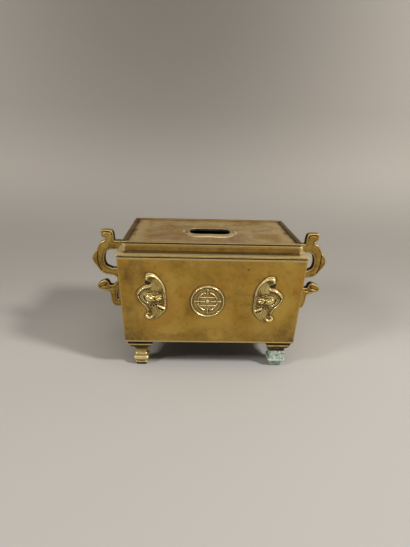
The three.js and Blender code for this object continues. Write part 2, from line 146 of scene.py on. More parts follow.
def noiseNode(tree, vector, scale, detail=4, roughness=0.55, distortion=0):
    inputs = {"Vector": vector, "Scale": scale, "Detail": detail, "Roughness": roughness,
              "Distortion": distortion}
    return makeNode(tree, "ShaderNodeTexNoise", inputs).outputs["Fac"]


def newGroup(name, kind, inputs, outputs):
    group = bpy.data.node_groups.new(name, kind)
    for label, socketType, value in inputs:
        socket = group.interface.new_socket(label, in_out="INPUT", socket_type=socketType)
        if value is not None:
            socket.default_value = value
    for label, socketType in outputs:
        group.interface.new_socket(label, in_out="OUTPUT", socket_type=socketType)
    entry = group.nodes.new("NodeGroupInput").outputs
    leave = group.nodes.new("NodeGroupOutput").inputs
    return group, entry, leave


floatSocket = "NodeSocketFloat"
colourSocket = "NodeSocketColor"
vectorSocket = "NodeSocketVector"


# Shared surface effects

def makePatinaGroup():
    group, given, result = newGroup("brassPatina", "ShaderNodeTree", [
        ("Light", colourSocket, (0.5, 0.35, 0.15, 1)),
        ("Middle", colourSocket, (0.4, 0.25, 0.08, 1)),
        ("Dark", colourSocket, (0.15, 0.08, 0.03, 1)),
        ("Warm", colourSocket, (0.4, 0.18, 0.05, 1)),
        ("Cloud Scale", floatSocket, 40),
        ("Warm Share", floatSocket, 0.4),
        ("Dark Share", floatSocket, 0.4),
    ], [("Color", colourSocket), ("Cloud", floatSocket)])
    place = objectPoint(group)
    shifted = objectPoint(group, shift=(0.37, 0.11, 0.53))
    cloud = noiseNode(group, place, given["Cloud Scale"], 5, 0.55, 0.5)
    wide = mathNode(group, "MULTIPLY", given["Cloud Scale"], 0.42)
    warmCloud = noiseNode(group, shifted, wide, 4, 0.6, 0.8)
    fine = mathNode(group, "MULTIPLY", given["Cloud Scale"], 5.5)
    speckle = noiseNode(group, shifted, fine, 7, 0.7, 0.2)
    base = mixColour(group, smoothRange(group, cloud, 0.36, 0.66), given["Middle"], given["Light"])
    warmMask = mathNode(group, "MULTIPLY", smoothRange(group, warmCloud, 0.46, 0.68), given["Warm Share"])
    warmed = mixColour(group, warmMask, base, given["Warm"])
    blotch = mathNode(group, "MULTIPLY", speckle, mathNode(group, "ADD", cloud, 0.5))
    darkMask = mathNode(group, "MULTIPLY", smoothRange(group, blotch, 0.52, 0.3), given["Dark Share"])
    group.links.new(mixColour(group, darkMask, warmed, given["Dark"]), result["Color"])
    group.links.new(cloud, result["Cloud"])
    return group


def makeWearAndHighlightGroup():
    group, given, result = newGroup("rubbedEdgesAndHighlights", "ShaderNodeTree", [
        ("Wear", floatSocket, 0),
        ("Amount", floatSocket, 1),
        ("Breakup", floatSocket, 0.4),
        ("Scale", floatSocket, 300),
    ], [("Mask", floatSocket)])
    patches = noiseNode(group, objectPoint(group), given["Scale"], 5, 0.65, 0.3)
    centred = mathNode(group, "MULTIPLY", mathNode(group, "SUBTRACT", patches, 0.5), given["Breakup"])
    raised = mathNode(group, "MULTIPLY", given["Wear"], given["Amount"])
    lifted = mathNode(group, "MULTIPLY", mathNode(group, "ADD", centred, 1), raised)
    group.links.new(smoothRange(group, lifted, 0.12, 0.75), result["Mask"])
    return group


def makeGrimeAndShadeGroup():
    group, given, result = newGroup("grimeAndPaintedShade", "ShaderNodeTree", [
        ("Cavity", floatSocket, 0),
        ("Amount", floatSocket, 1),
        ("Scale", floatSocket, 220),
    ], [("Mask", floatSocket)])
    patches = noiseNode(group, objectPoint(group, shift=(0.2, 0.7, 0.1)), given["Scale"], 4, 0.6, 0.2)
    deep = mathNode(group, "MULTIPLY", given["Cavity"], given["Amount"])
    uneven = mathNode(group, "MULTIPLY", deep, mathNode(group, "ADD", patches, 0.45))
    group.links.new(smoothRange(group, uneven, 0.05, 0.7), result["Mask"])
    return group


def makeScratchGroup():
    group, given, result = newGroup("fineScratches", "ShaderNodeTree", [
        ("Scale", floatSocket, 60),
        ("Amount", floatSocket, 1),
    ], [("Mask", floatSocket)])
    lines = None
    for turn in ((0.2, 0.5, 0.1), (1.1, 0.2, 1.4), (0.5, 1.3, 2.3)):
        place = objectPoint(group, turn=turn, scale=(1, 14, 14))
        streak = noiseNode(group, place, given["Scale"], 2, 0.5, 0.1)
        narrow = mathNode(group, "ABSOLUTE", mathNode(group, "SUBTRACT", streak, 0.5))
        line = smoothRange(group, narrow, 0.011, 0.002)
        lines = line if lines is None else mathNode(group, "MAXIMUM", lines, line)
    gate = smoothRange(group, noiseNode(group, objectPoint(group), 45, 3, 0.5), 0.45, 0.65)
    shown = mathNode(group, "MULTIPLY", mathNode(group, "MULTIPLY", lines, gate), given["Amount"])
    group.links.new(shown, result["Mask"])
    return group


def makeGrainGroup():
    group, given, result = newGroup("castGrain", "ShaderNodeTree", [
        ("Scale", floatSocket, 900),
        ("Pits", floatSocket, 0.4),
    ], [("Height", floatSocket), ("Pit Mask", floatSocket)])
    place = objectPoint(group)
    grain = noiseNode(group, place, given["Scale"], 5, 0.6, 0)
    swell = noiseNode(group, place, mathNode(group, "MULTIPLY", given["Scale"], 0.12), 3, 0.5, 0)
    inputs = {"Vector": place, "Scale": mathNode(group, "MULTIPLY", given["Scale"], 0.4)}
    cells = makeNode(group, "ShaderNodeTexVoronoi", inputs)
    few = smoothRange(group, noiseNode(group, place, given["Scale"], 0, 0.5, 0), 0.55, 0.62)
    pit = mathNode(group, "MULTIPLY", smoothRange(group, cells.outputs["Distance"], 0.28, 0.1), few)
    pit = mathNode(group, "MULTIPLY", pit, given["Pits"])
    height = mathNode(group, "ADD", mathNode(group, "MULTIPLY", grain, 0.35), swell)
    group.links.new(mathNode(group, "SUBTRACT", height, pit), result["Height"])
    group.links.new(pit, result["Pit Mask"])
    return group


effects = {
    "patina": makePatinaGroup(),
    "wear": makeWearAndHighlightGroup(),
    "grimeAndShade": makeGrimeAndShadeGroup(),
    "scratch": makeScratchGroup(),
    "grain": makeGrainGroup(),
}


def useEffect(tree, name, **values):
    node = tree.nodes.new("ShaderNodeGroup")
    node.node_tree = effects[name]
    for key, value in values.items():
        socket = node.inputs[key.replace("_", " ")]
        if isinstance(value, bpy.types.NodeSocket):
            tree.links.new(value, socket)
        else:
            socket.default_value = value
    return node.outputs


def colour(red, green, blue):
    def toLinear(value):
        share = value / 255
        return share / 12.92 if share <= 0.04045 else ((share + 0.055) / 1.055) ** 2.4
    return (toLinear(red), toLinear(green), toLinear(blue), 1)


def newMaterial(name):
    material = bpy.data.materials.new(name)
    material.use_nodes = True
    tree = material.node_tree
    tree.nodes.clear()
    shader = tree.nodes.new("ShaderNodeBsdfPrincipled")
    output = tree.nodes.new("ShaderNodeOutputMaterial")
    tree.links.new(shader.outputs[0], output.inputs[0])
    return material, tree, shader


finishes = {
    "wallBrass": {
        "light": colour(196, 161, 78), "middle": colour(178, 141, 61), "dark": colour(90, 66, 31),
        "warm": colour(182, 124, 48), "rubAndHighlight": colour(214, 190, 128), "soilAndShade": colour(52, 40, 22),
        "cloud": 34, "warmShare": 0.6, "darkShare": 0.28, "rough": (0.34, 0.5), "metal": 0.92,
        "wear": 0.9, "grimeAndShade": 1.0, "scratch": 0.35, "grain": 0.00006, "pits": 0.3,
    },
    "rimBrass": {
        "light": colour(200, 174, 110), "middle": colour(180, 150, 86), "dark": colour(96, 74, 40),
        "warm": colour(176, 132, 68), "rubAndHighlight": colour(222, 200, 142), "soilAndShade": colour(94, 70, 26),
        "cloud": 45, "warmShare": 0.35, "darkShare": 0.4, "rough": (0.36, 0.52), "metal": 0.62,
        "wear": 1.1, "grimeAndShade": 1.0, "scratch": 0.5, "grain": 0.00006, "pits": 0.3,
    },
    "bandBrass": {
        "light": colour(165, 131, 61), "middle": colour(147, 112, 47), "dark": colour(80, 60, 30),
        "warm": colour(154, 104, 44), "rubAndHighlight": colour(218, 192, 132), "soilAndShade": colour(54, 38, 16),
        "cloud": 45, "warmShare": 0.5, "darkShare": 0.4, "rough": (0.34, 0.5), "metal": 0.9,
        "wear": 0.9, "grimeAndShade": 1.1, "scratch": 0.4, "grain": 0.00006, "pits": 0.3,
    },
    "lidBrass": {
        "light": colour(212, 188, 130), "middle": colour(176, 144, 86), "dark": colour(104, 80, 46),
        "warm": colour(166, 118, 74), "rubAndHighlight": colour(224, 206, 158), "soilAndShade": colour(56, 44, 26),
        "cloud": 48, "warmShare": 0.85, "darkShare": 0.45, "rough": (0.38, 0.58), "metal": 0.85,
        "wear": 1.1, "grimeAndShade": 1.1, "scratch": 0.6, "grain": 0.00008, "pits": 0.4,
    },
    "handleBrass": {
        "light": colour(192, 161, 84), "middle": colour(168, 136, 65), "dark": colour(80, 60, 30),
        "warm": colour(170, 125, 56), "rubAndHighlight": colour(214, 188, 126), "soilAndShade": colour(50, 38, 20),
        "cloud": 70, "warmShare": 0.4, "darkShare": 0.6, "rough": (0.36, 0.55), "metal": 0.88,
        "wear": 0.6, "grimeAndShade": 1.3, "scratch": 0.3, "grain": 0.00010, "pits": 0.5,
    },
    "footBrass": {
        "light": colour(214, 190, 120), "middle": colour(196, 166, 94), "dark": colour(92, 72, 40),
        "warm": colour(186, 144, 74), "rubAndHighlight": colour(236, 216, 158), "soilAndShade": colour(62, 46, 22),
        "cloud": 80, "warmShare": 0.35, "darkShare": 0.4, "rough": (0.34, 0.52), "metal": 0.85,
        "wear": 1.1, "grimeAndShade": 1.3, "scratch": 0.3, "grain": 0.00010, "pits": 0.5,
    },
    "ornamentBrass": {
        "light": colour(212, 190, 122), "middle": colour(192, 166, 94), "dark": colour(122, 98, 48),
        "warm": colour(196, 152, 92), "rubAndHighlight": colour(238, 220, 160), "soilAndShade": colour(118, 92, 40),
        "cloud": 110, "warmShare": 0.3, "darkShare": 0.4, "rough": (0.28, 0.46), "metal": 0.92,
        "wear": 1.1, "grimeAndShade": 1.3, "scratch": 0.2, "grain": 0.00005, "pits": 0.3,
    },
    "rivetBrass": {
        "light": colour(170, 142, 82), "middle": colour(146, 116, 62), "dark": colour(70, 54, 32),
        "warm": colour(150, 108, 56), "rubAndHighlight": colour(206, 182, 128), "soilAndShade": colour(40, 31, 19),
        "cloud": 120, "warmShare": 0.4, "darkShare": 0.5, "rough": (0.4, 0.6), "metal": 0.85,
        "wear": 0.8, "grimeAndShade": 1.0, "scratch": 0.2, "grain": 0.00008, "pits": 0.4,
    },
}
# Soot's colour, also used for the painted shade under the lid, on the lid seat and on the feet's tops.
sootAndShadeColour = colour(22, 17, 12)


def makeBrass(name, finish):
    material, tree, shader = newMaterial(name)

    def attribute(label):
        return makeNode(tree, "ShaderNodeAttribute", attribute_name=label).outputs["Fac"]

    patina = useEffect(tree, "patina", Light=finish["light"], Middle=finish["middle"],
                       Dark=finish["dark"], Warm=finish["warm"], Cloud_Scale=finish["cloud"],
                       Warm_Share=finish["warmShare"], Dark_Share=finish["darkShare"])
    # The rubbed, grime and soot masks carry real wear, dirt and soot, and also the painted highlights and painted
    # shade that pieces put into the wear, cavity and soot attributes.
    rubbed = useEffect(tree, "wear", Wear=attribute("wear"), Amount=finish["wear"])["Mask"]
    grimeAndShadeMask = useEffect(tree, "grimeAndShade", Cavity=attribute("cavity"), Amount=finish["grimeAndShade"])["Mask"]
    scratched = useEffect(tree, "scratch", Amount=finish["scratch"])["Mask"]
    grain = useEffect(tree, "grain", Pits=finish["pits"])
    soot = attribute("soot")
    polished = mathNode(tree, "MULTIPLY", attribute("bare"), 0.7)
    tone = mixColour(tree, polished, patina["Color"], finish["light"])
    tone = mixColour(tree, grimeAndShadeMask, tone, finish["soilAndShade"])
    tone = mixColour(tree, grain["Pit Mask"], tone, finish["soilAndShade"])
    shine = mathNode(tree, "MAXIMUM", rubbed, mathNode(tree, "MULTIPLY", scratched, 0.5))
    tone = mixColour(tree, shine, tone, finish["rubAndHighlight"])
    tone = mixColour(tree, soot, tone, sootAndShadeColour)
    tree.links.new(tone, shader.inputs["Base Color"])
    smooth, matt = finish["rough"]
    rough = smoothRange(tree, patina["Cloud"], 0.35, 0.65)
    rough = mathNode(tree, "MULTIPLY_ADD", rough, smooth - matt, matt)
    rough = mathNode(tree, "MULTIPLY_ADD", grimeAndShadeMask, 0.22, rough)
    rough = mathNode(tree, "MULTIPLY_ADD", soot, 0.3, rough)
    rough = mathNode(tree, "MULTIPLY_ADD", shine, -0.1, rough, clamp=True)
    tree.links.new(rough, shader.inputs["Roughness"])
    dull = mathNode(tree, "MAXIMUM", mathNode(tree, "MULTIPLY", grimeAndShadeMask, 0.6), soot)
    metal = mathNode(tree, "MULTIPLY_ADD", dull, -finish["metal"] * 0.9, finish["metal"], clamp=True)
    tree.links.new(metal, shader.inputs["Metallic"])
    height = mathNode(tree, "MULTIPLY_ADD", scratched, -0.25, grain["Height"])
    bump = makeNode(tree, "ShaderNodeBump", {"Strength": 1, "Distance": finish["grain"], "Height": height})
    tree.links.new(bump.outputs[0], shader.inputs["Normal"])
    return material


def makeVerdigris(name):
    material, tree, shader = newMaterial(name)
    place = objectPoint(tree)
    cloud = noiseNode(tree, place, 210, 6, 0.65, 0.5)
    chalk = noiseNode(tree, objectPoint(tree, shift=(0.3, 0.2, 0.9)), 420, 6, 0.7, 0.2)
    cavity = makeNode(tree, "ShaderNodeAttribute", attribute_name="cavity").outputs["Fac"]
    bare = makeNode(tree, "ShaderNodeAttribute", attribute_name="bare").outputs["Fac"]
    wear = makeNode(tree, "ShaderNodeAttribute", attribute_name="wear").outputs["Fac"]
    soot = makeNode(tree, "ShaderNodeAttribute", attribute_name="soot").outputs["Fac"]
    tone = mixColour(tree, smoothRange(tree, cloud, 0.38, 0.6), colour(128, 156, 134), colour(188, 208, 188))
    pale = mathNode(tree, "ADD", chalk, mathNode(tree, "MULTIPLY", wear, 0.12))
    tone = mixColour(tree, smoothRange(tree, pale, 0.5, 0.66), tone, colour(226, 234, 218))
    # The cavity darkening also carries the painted shade of the feet's tone table.
    tone = mixColour(tree, smoothRange(tree, cavity, 0.3, 1.0), tone, colour(66, 78, 60))
    brown = mathNode(tree, "MULTIPLY", smoothRange(tree, chalk, 0.4, 0.33), 0.6)
    tone = mixColour(tree, brown, tone, colour(112, 104, 74))
    brass = mixColour(tree, smoothRange(tree, cloud, 0.4, 0.6), colour(150, 122, 62), colour(206, 176, 112))
    brass = mixColour(tree, smoothRange(tree, cavity, 0.3, 0.8), brass, colour(70, 52, 24))
    brass = mixColour(tree, smoothRange(tree, wear, 0.2, 0.7), brass, colour(228, 206, 150))
    shown = smoothRange(tree, mathNode(tree, "ADD", bare, mathNode(tree, "MULTIPLY", chalk, 0.5)), 0.72, 0.9)
    tone = mixColour(tree, shown, tone, brass)
    tone = mixColour(tree, mathNode(tree, "MULTIPLY", soot, shown), tone, sootAndShadeColour)
    tree.links.new(tone, shader.inputs["Base Color"])
    tree.links.new(mathNode(tree, "MULTIPLY", shown, 0.85), shader.inputs["Metallic"])
    rough = mathNode(tree, "MULTIPLY_ADD", shown, -0.42, 0.88)
    tree.links.new(rough, shader.inputs["Roughness"])
    crumb = mathNode(tree, "ADD", mathNode(tree, "MULTIPLY", chalk, 0.7), cloud)
    bump = makeNode(tree, "ShaderNodeBump", {"Strength": 1, "Distance": 0.0004, "Height": crumb})
    tree.links.new(bump.outputs[0], shader.inputs["Normal"])
    return material


materials = {name: makeBrass(name, finish) for name, finish in finishes.items()}
materials["verdigris"] = makeVerdigris("verdigris")
print("materials made: %d" % len(materials))


# Mesh helpers

def neighbourMean(points, pairs, rounds):
    count = len(points)
    ends = np.concatenate([pairs[:, 0], pairs[:, 1]])
    others = np.concatenate([pairs[:, 1], pairs[:, 0]])
    degree = np.maximum(np.bincount(ends, minlength=count), 1)[:, None]
    for _ in range(rounds):
        sums = np.stack([np.bincount(ends, points[others, axis], minlength=count) for axis in range(3)], 1)
        points = 0.5 * points + 0.5 * sums / degree
    return points


def paint(mesh, label, values):
    attribute = mesh.attributes.get(label) or mesh.attributes.new(label, "FLOAT", "POINT")
    attribute.data.foreach_set("value", np.asarray(values, np.float32))


# Curvature gives rubbed edges and dirty hollows; the extras add each piece's marks, painted highlights and painted
# shade.
def paintWearAndShade(mesh, rounds, reach, extra=None):
    count = len(mesh.vertices)
    points = np.empty(count * 3)
    mesh.vertices.foreach_get("co", points)
    points = points.reshape(-1, 3)
    normals = np.empty(count * 3)
    mesh.vertices.foreach_get("normal", normals)
    normals = normals.reshape(-1, 3)
    pairs = np.empty(len(mesh.edges) * 2, int)
    mesh.edges.foreach_get("vertices", pairs)
    smooth = neighbourMean(points, pairs.reshape(-1, 2), rounds)
    rise = ((points - smooth) * normals).sum(1) / (reach * 0.001)
    wear = np.clip(rise, 0, 1)
    cavity = np.clip(-rise, 0, 1)
    extra = extra or {}
    paint(mesh, "wear", np.clip(wear + extra.get("wear", 0), 0, 1))
    paint(mesh, "cavity", np.clip(cavity + extra.get("cavity", 0), 0, 1))
    paint(mesh, "soot", extra.get("soot", np.zeros(count)))
    paint(mesh, "bare", extra.get("bare", np.zeros(count)))


def finishPiece(name, mesh, finish, body, nodes, sharp=35, rounds=6, reach=0.25, extra=None):
    bm = bmesh.new()
    bm.from_mesh(mesh)
    bmesh.ops.recalc_face_normals(bm, faces=bm.faces)
    bm.to_mesh(mesh)
    bm.free()
    mesh.shade_smooth()
    mesh.set_sharp_from_angle(angle=math.radians(sharp))
    paintWearAndShade(mesh, rounds, reach, extra)
    mesh.materials.clear()
    mesh.materials.append(materials[finish])
    piece = bpy.data.objects.new(name, mesh)
    scene.collection.objects.link(piece)
    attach(piece, body)
    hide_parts(*nodes)
    return piece


def addPiece(name, points, faces, *rest, **options):
    mesh = bpy.data.meshes.new(name)
    mesh.from_pydata((np.asarray(points, float) * 0.001).tolist(), [], faces)
    mesh.update()
    return finishPiece(name, mesh, *rest, **options)


def meshFromTree(mesh, tree, values):
    carrier = bpy.data.objects.new(mesh.name, mesh)
    scene.collection.objects.link(carrier)
    modifier = carrier.modifiers.new("made", "NODES")
    modifier.node_group = tree
    for socket in tree.interface.items_tree:
        if socket.item_type == "SOCKET" and socket.in_out == "INPUT" and socket.name in values:
            modifier[socket.identifier] = values[socket.name]
    graph = bpy.context.evaluated_depsgraph_get()
    made = bpy.data.meshes.new_from_object(carrier.evaluated_get(graph), depsgraph=graph)
    bpy.data.objects.remove(carrier)
    return made


def smoothStep(low, high, value):
    share = np.clip((np.asarray(value, float) - low) / (high - low), 0, 1)
    return share * share * (3 - 2 * share)


def ripple(seed, waves, *coordinates):
    random = np.random.RandomState(seed)
    total = 0
    for length in waves:
        turn = random.normal(size=len(coordinates))
        turn *= 2 * math.pi / (length * np.linalg.norm(turn))
        phase = random.uniform(0, 2 * math.pi)
        total = total + np.sin(sum(k * c for k, c in zip(turn, coordinates)) + phase)
    return total / len(waves)


def filletLoop(corners, steps=4, closed=True):
    loop = []
    count = len(corners)
    for index, (x, z, radius) in enumerate(corners):
        here = np.array([x, z], float)
        atEnd = not closed and index in (0, count - 1)
        if radius <= 0 or atEnd:
            loop.append(here)
            continue
        before = np.array(corners[index - 1][:2]) - here
        after = np.array(corners[(index + 1) % count][:2]) - here
        start = here + radius * before / np.linalg.norm(before)
        end = here + radius * after / np.linalg.norm(after)
        for step in range(steps + 1):
            t = step / steps
            loop.append((1 - t) ** 2 * start + 2 * t * (1 - t) * here + t * t * end)
    return np.array(loop)


def rectLoop(halfX, halfY, radius, arc, alongX, alongY):
    points = []
    signs = [(-1, -1), (1, -1), (1, 1), (-1, 1)]
    for index, (signX, signY) in enumerate(signs):
        centre = np.array([signX * (halfX - radius), signY * (halfY - radius)])
        for step in range(arc + 1):
            angle = math.pi * (1 + index / 2) + math.pi / 2 * step / arc
            points.append(centre + radius * np.array([math.cos(angle), math.sin(angle)]))
        nextX, nextY = signs[(index + 1) % 4]
        nextCentre = np.array([nextX * (halfX - radius), nextY * (halfY - radius)])
        angle = math.pi * (1.5 + index / 2)
        offset = radius * np.array([math.cos(angle), math.sin(angle)])
        along = alongX if index % 2 == 0 else alongY
        for step in range(1, along):
            share = step / along
            points.append((1 - share) * (centre + offset) + share * (nextCentre + offset))
    return np.array(points)


def ringFaces(rows, columns, rowsClosed, columnsClosed):
    faces = []
    for row in range(rows if rowsClosed else rows - 1):
        upper = (row + 1) % rows
        for column in range(columns if columnsClosed else columns - 1):
            right = (column + 1) % columns
            faces.append((row * columns + column, row * columns + right,
                          upper * columns + right, upper * columns + column))
    return faces


def frameRing(name, section, finish, body, nodes, cornerRadius=1.2, arc=6, along=(60, 40), wave=0.05,
              seed=1, shade=None, **options):
    rows = []
    for inset, z in section:
        radius = max(cornerRadius - inset + section[:, 0].min(), 0.2)
        loop = rectLoop(halfLength - inset, halfDepth - inset, radius, arc, *along)
        lift = wave * ripple(seed, (90, 55, 33, 21), loop[:, 0], loop[:, 1])
        rows.append(np.column_stack([loop, z + lift]))
    faces = ringFaces(len(rows), len(rows[0]), True, True)
    points = np.concatenate(rows)
    if shade:
        options["extra"] = shade(np.repeat(section[:, 0], len(rows[0])), points)
    return addPiece(name, points, faces, finish, body, nodes, **options)


# Splines and distances, for the outlines of the castings

def throughPoints(points, closed=False, steps=8):
    points = np.asarray(points, float)
    count = len(points)
    curve = []
    for index in range(count if closed else count - 1):
        if closed:
            p0, p1, p2, p3 = (points[(index + k) % count] for k in (-1, 0, 1, 2))
        else:
            p0, p1 = points[max(index - 1, 0)], points[index]
            p2, p3 = points[index + 1], points[min(index + 2, count - 1)]
        for step in range(steps):
            t = step / steps
            v0, v1 = (p2 - p0) * 0.5, (p3 - p1) * 0.5
            curve.append((2 * p1 - 2 * p2 + v0 + v1) * t ** 3
                         + (-3 * p1 + 3 * p2 - 2 * v0 - v1) * t ** 2 + v0 * t + p1)
    if not closed:
        curve.append(points[-1])
    return np.array(curve)


def outlineFrom(runs):
    outline = [np.asarray(runs[0][1][0], float)]
    for kind, points in runs:
        if kind == "line":
            outline.extend(np.asarray(points, float))
        else:
            outline.extend(throughPoints([outline[-1], *points])[1:])
    kept = [outline[0]]
    for point in outline[1:]:
        if np.linalg.norm(point - kept[-1]) > 1e-6:
            kept.append(point)
    if np.linalg.norm(kept[0] - kept[-1]) < 1e-6:
        kept.pop()
    return np.array(kept)


def pathDistance(u, v, path, closed=False):
    ends = np.roll(path, -1, axis=0) if closed else path[1:]
    starts = path if closed else path[:-1]
    best = np.full(u.shape, 1e9)
    along = np.zeros(u.shape)
    total = len(starts)
    for index, (a, b) in enumerate(zip(starts, ends)):
        d = b - a
        size = max(d @ d, 1e-12)
        t = np.clip(((u - a[0]) * d[0] + (v - a[1]) * d[1]) / size, 0, 1)
        distance = np.hypot(u - a[0] - t * d[0], v - a[1] - t * d[1])
        nearer = distance < best
        best = np.where(nearer, distance, best)
        along = np.where(nearer, (index + t) / total, along)
    return best, along


def signedDistance(u, v, outline):
    inside = np.zeros(u.shape, bool)
    for a, b in zip(outline, np.roll(outline, -1, axis=0)):
        crosses = (a[1] > v) != (b[1] > v)
        slope = (b[0] - a[0]) / (b[1] - a[1]) if b[1] != a[1] else 0
        inside ^= crosses & (u < a[0] + slope * (v - a[1]))
    distance, _ = pathDistance(u, v, outline, closed=True)
    return np.where(inside, distance, -distance)


# A relief: a grid clipped to an outline, raised by a height, and closed at its back

def reliefMesh(signed, height, low, high, step):
    us = np.arange(low[0], high[0] + step, step)
    vs = np.arange(low[1], high[1] + step, step)
    u, v = np.meshgrid(us, vs)
    d = signed(u, v)
    gradU = (signed(u + 0.01, v) - d) / 0.01
    gradV = (signed(u, v + 0.01) - d) / 0.01
    near = np.abs(d) < 0.22 * step
    size = np.maximum(gradU ** 2 + gradV ** 2, 0.2)
    u = np.where(near, u - d * gradU / size, u)
    v = np.where(near, v - d * gradV / size, v)
    inside = near | (d > 0)
    columns = len(us)
    points = np.column_stack([u.ravel(), v.ravel()]).tolist()
    dFlat, nearFlat, insideFlat = d.ravel(), near.ravel(), inside.ravel()
    crossings = {}
    faces = []
    rowsIn, columnsIn = np.nonzero(inside[:-1, :-1] | inside[1:, :-1] | inside[:-1, 1:] | inside[1:, 1:])
    for row, column in zip(rowsIn.tolist(), columnsIn.tolist()):
        first = row * columns + column
        loop = (first, first + 1, first + columns + 1, first + columns)
        face = []
        for a, b in zip(loop, loop[1:] + loop[:1]):
            if insideFlat[a]:
                face.append(a)
            if insideFlat[a] == insideFlat[b] or nearFlat[a] or nearFlat[b]:
                continue
            key = (min(a, b), max(a, b))
            if key not in crossings:
                share = dFlat[a] / (dFlat[a] - dFlat[b])
                crossings[key] = len(points)
                points.append([points[a][k] + share * (points[b][k] - points[a][k]) for k in (0, 1)])
            face.append(crossings[key])
        if len(face) > 2:
            faces.append(face)
    used = np.unique(np.concatenate([np.array(face) for face in faces]))
    index = np.full(len(points), -1)
    index[used] = np.arange(len(used))
    flat = np.array(points)[used]
    faces = [[int(index[k]) for k in face] for face in faces]
    edges = {}
    for face in faces:
        for a, b in zip(face, face[1:] + face[:1]):
            edges[(a, b)] = edges.get((a, b), 0) + 1
    rim = [(a, b) for a, b in edges if (b, a) not in edges]
    inward = np.maximum(signed(flat[:, 0], flat[:, 1]), 0)
    top, bottom = height(flat[:, 0], flat[:, 1], inward)
    count = len(flat)
    solid = np.concatenate([np.column_stack([flat, top]), np.column_stack([flat, bottom])])
    allFaces = faces + [[k + count for k in reversed(face)] for face in faces]
    allFaces += [(b, a, a + count, b + count) for a, b in rim]
    return solid, allFaces


def blendMax(first, second, soft=0.3):
    share = np.clip(0.5 + 0.5 * (first - second) / soft, 0, 1)
    return second * (1 - share) + first * share + soft * share * (1 - share)


def domeAt(u, v, place, half, rise, turn=0, power=2):
    cosine, sine = math.cos(turn), math.sin(turn)
    du, dv = u - place[0], v - place[1]
    a = (du * cosine + dv * sine) / half[0]
    b = (dv * cosine - du * sine) / half[1]
    return rise * np.sqrt(np.clip(1 - (a * a + b * b) ** (power / 2), 0, 1))


def tubeAt(u, v, path, width, rise, taper=None):
    distance, along = pathDistance(u, v, path)
    scale = 1 if taper is None else np.interp(along, np.linspace(0, 1, len(taper)), taper)
    return rise * scale * np.sqrt(np.clip(1 - (distance / (width * scale)) ** 2, 0, 1))


def grooveAt(u, v, path, width, depth):
    distance, along = pathDistance(u, v, path)
    ends = smoothStep(0, 0.08, along) * smoothStep(1, 0.92, along)
    return depth * ends * np.exp(-(distance / width) ** 2)


# Ornaments, each drawn on the wall's own plane

ornamentPlaces = {"roundel": (-3.1, 35.2), "bat_left": (-47.6, 31.8), "bat_right": (45.4, 33.4)}


def onWall(points, side, place):
    x, drop = place
    z = burner["wallTop"] - drop
    c, s = math.cos(leanAngle), math.sin(leanAngle)
    out = points[:, 2]
    up = points[:, 1]
    placed = np.column_stack([
        x + points[:, 0],
        wallInset(z) - halfDepth - up * s - out * c,
        z + up * c - out * s,
    ])
    if side == "back":
        placed[:, :2] *= -1
    return placed


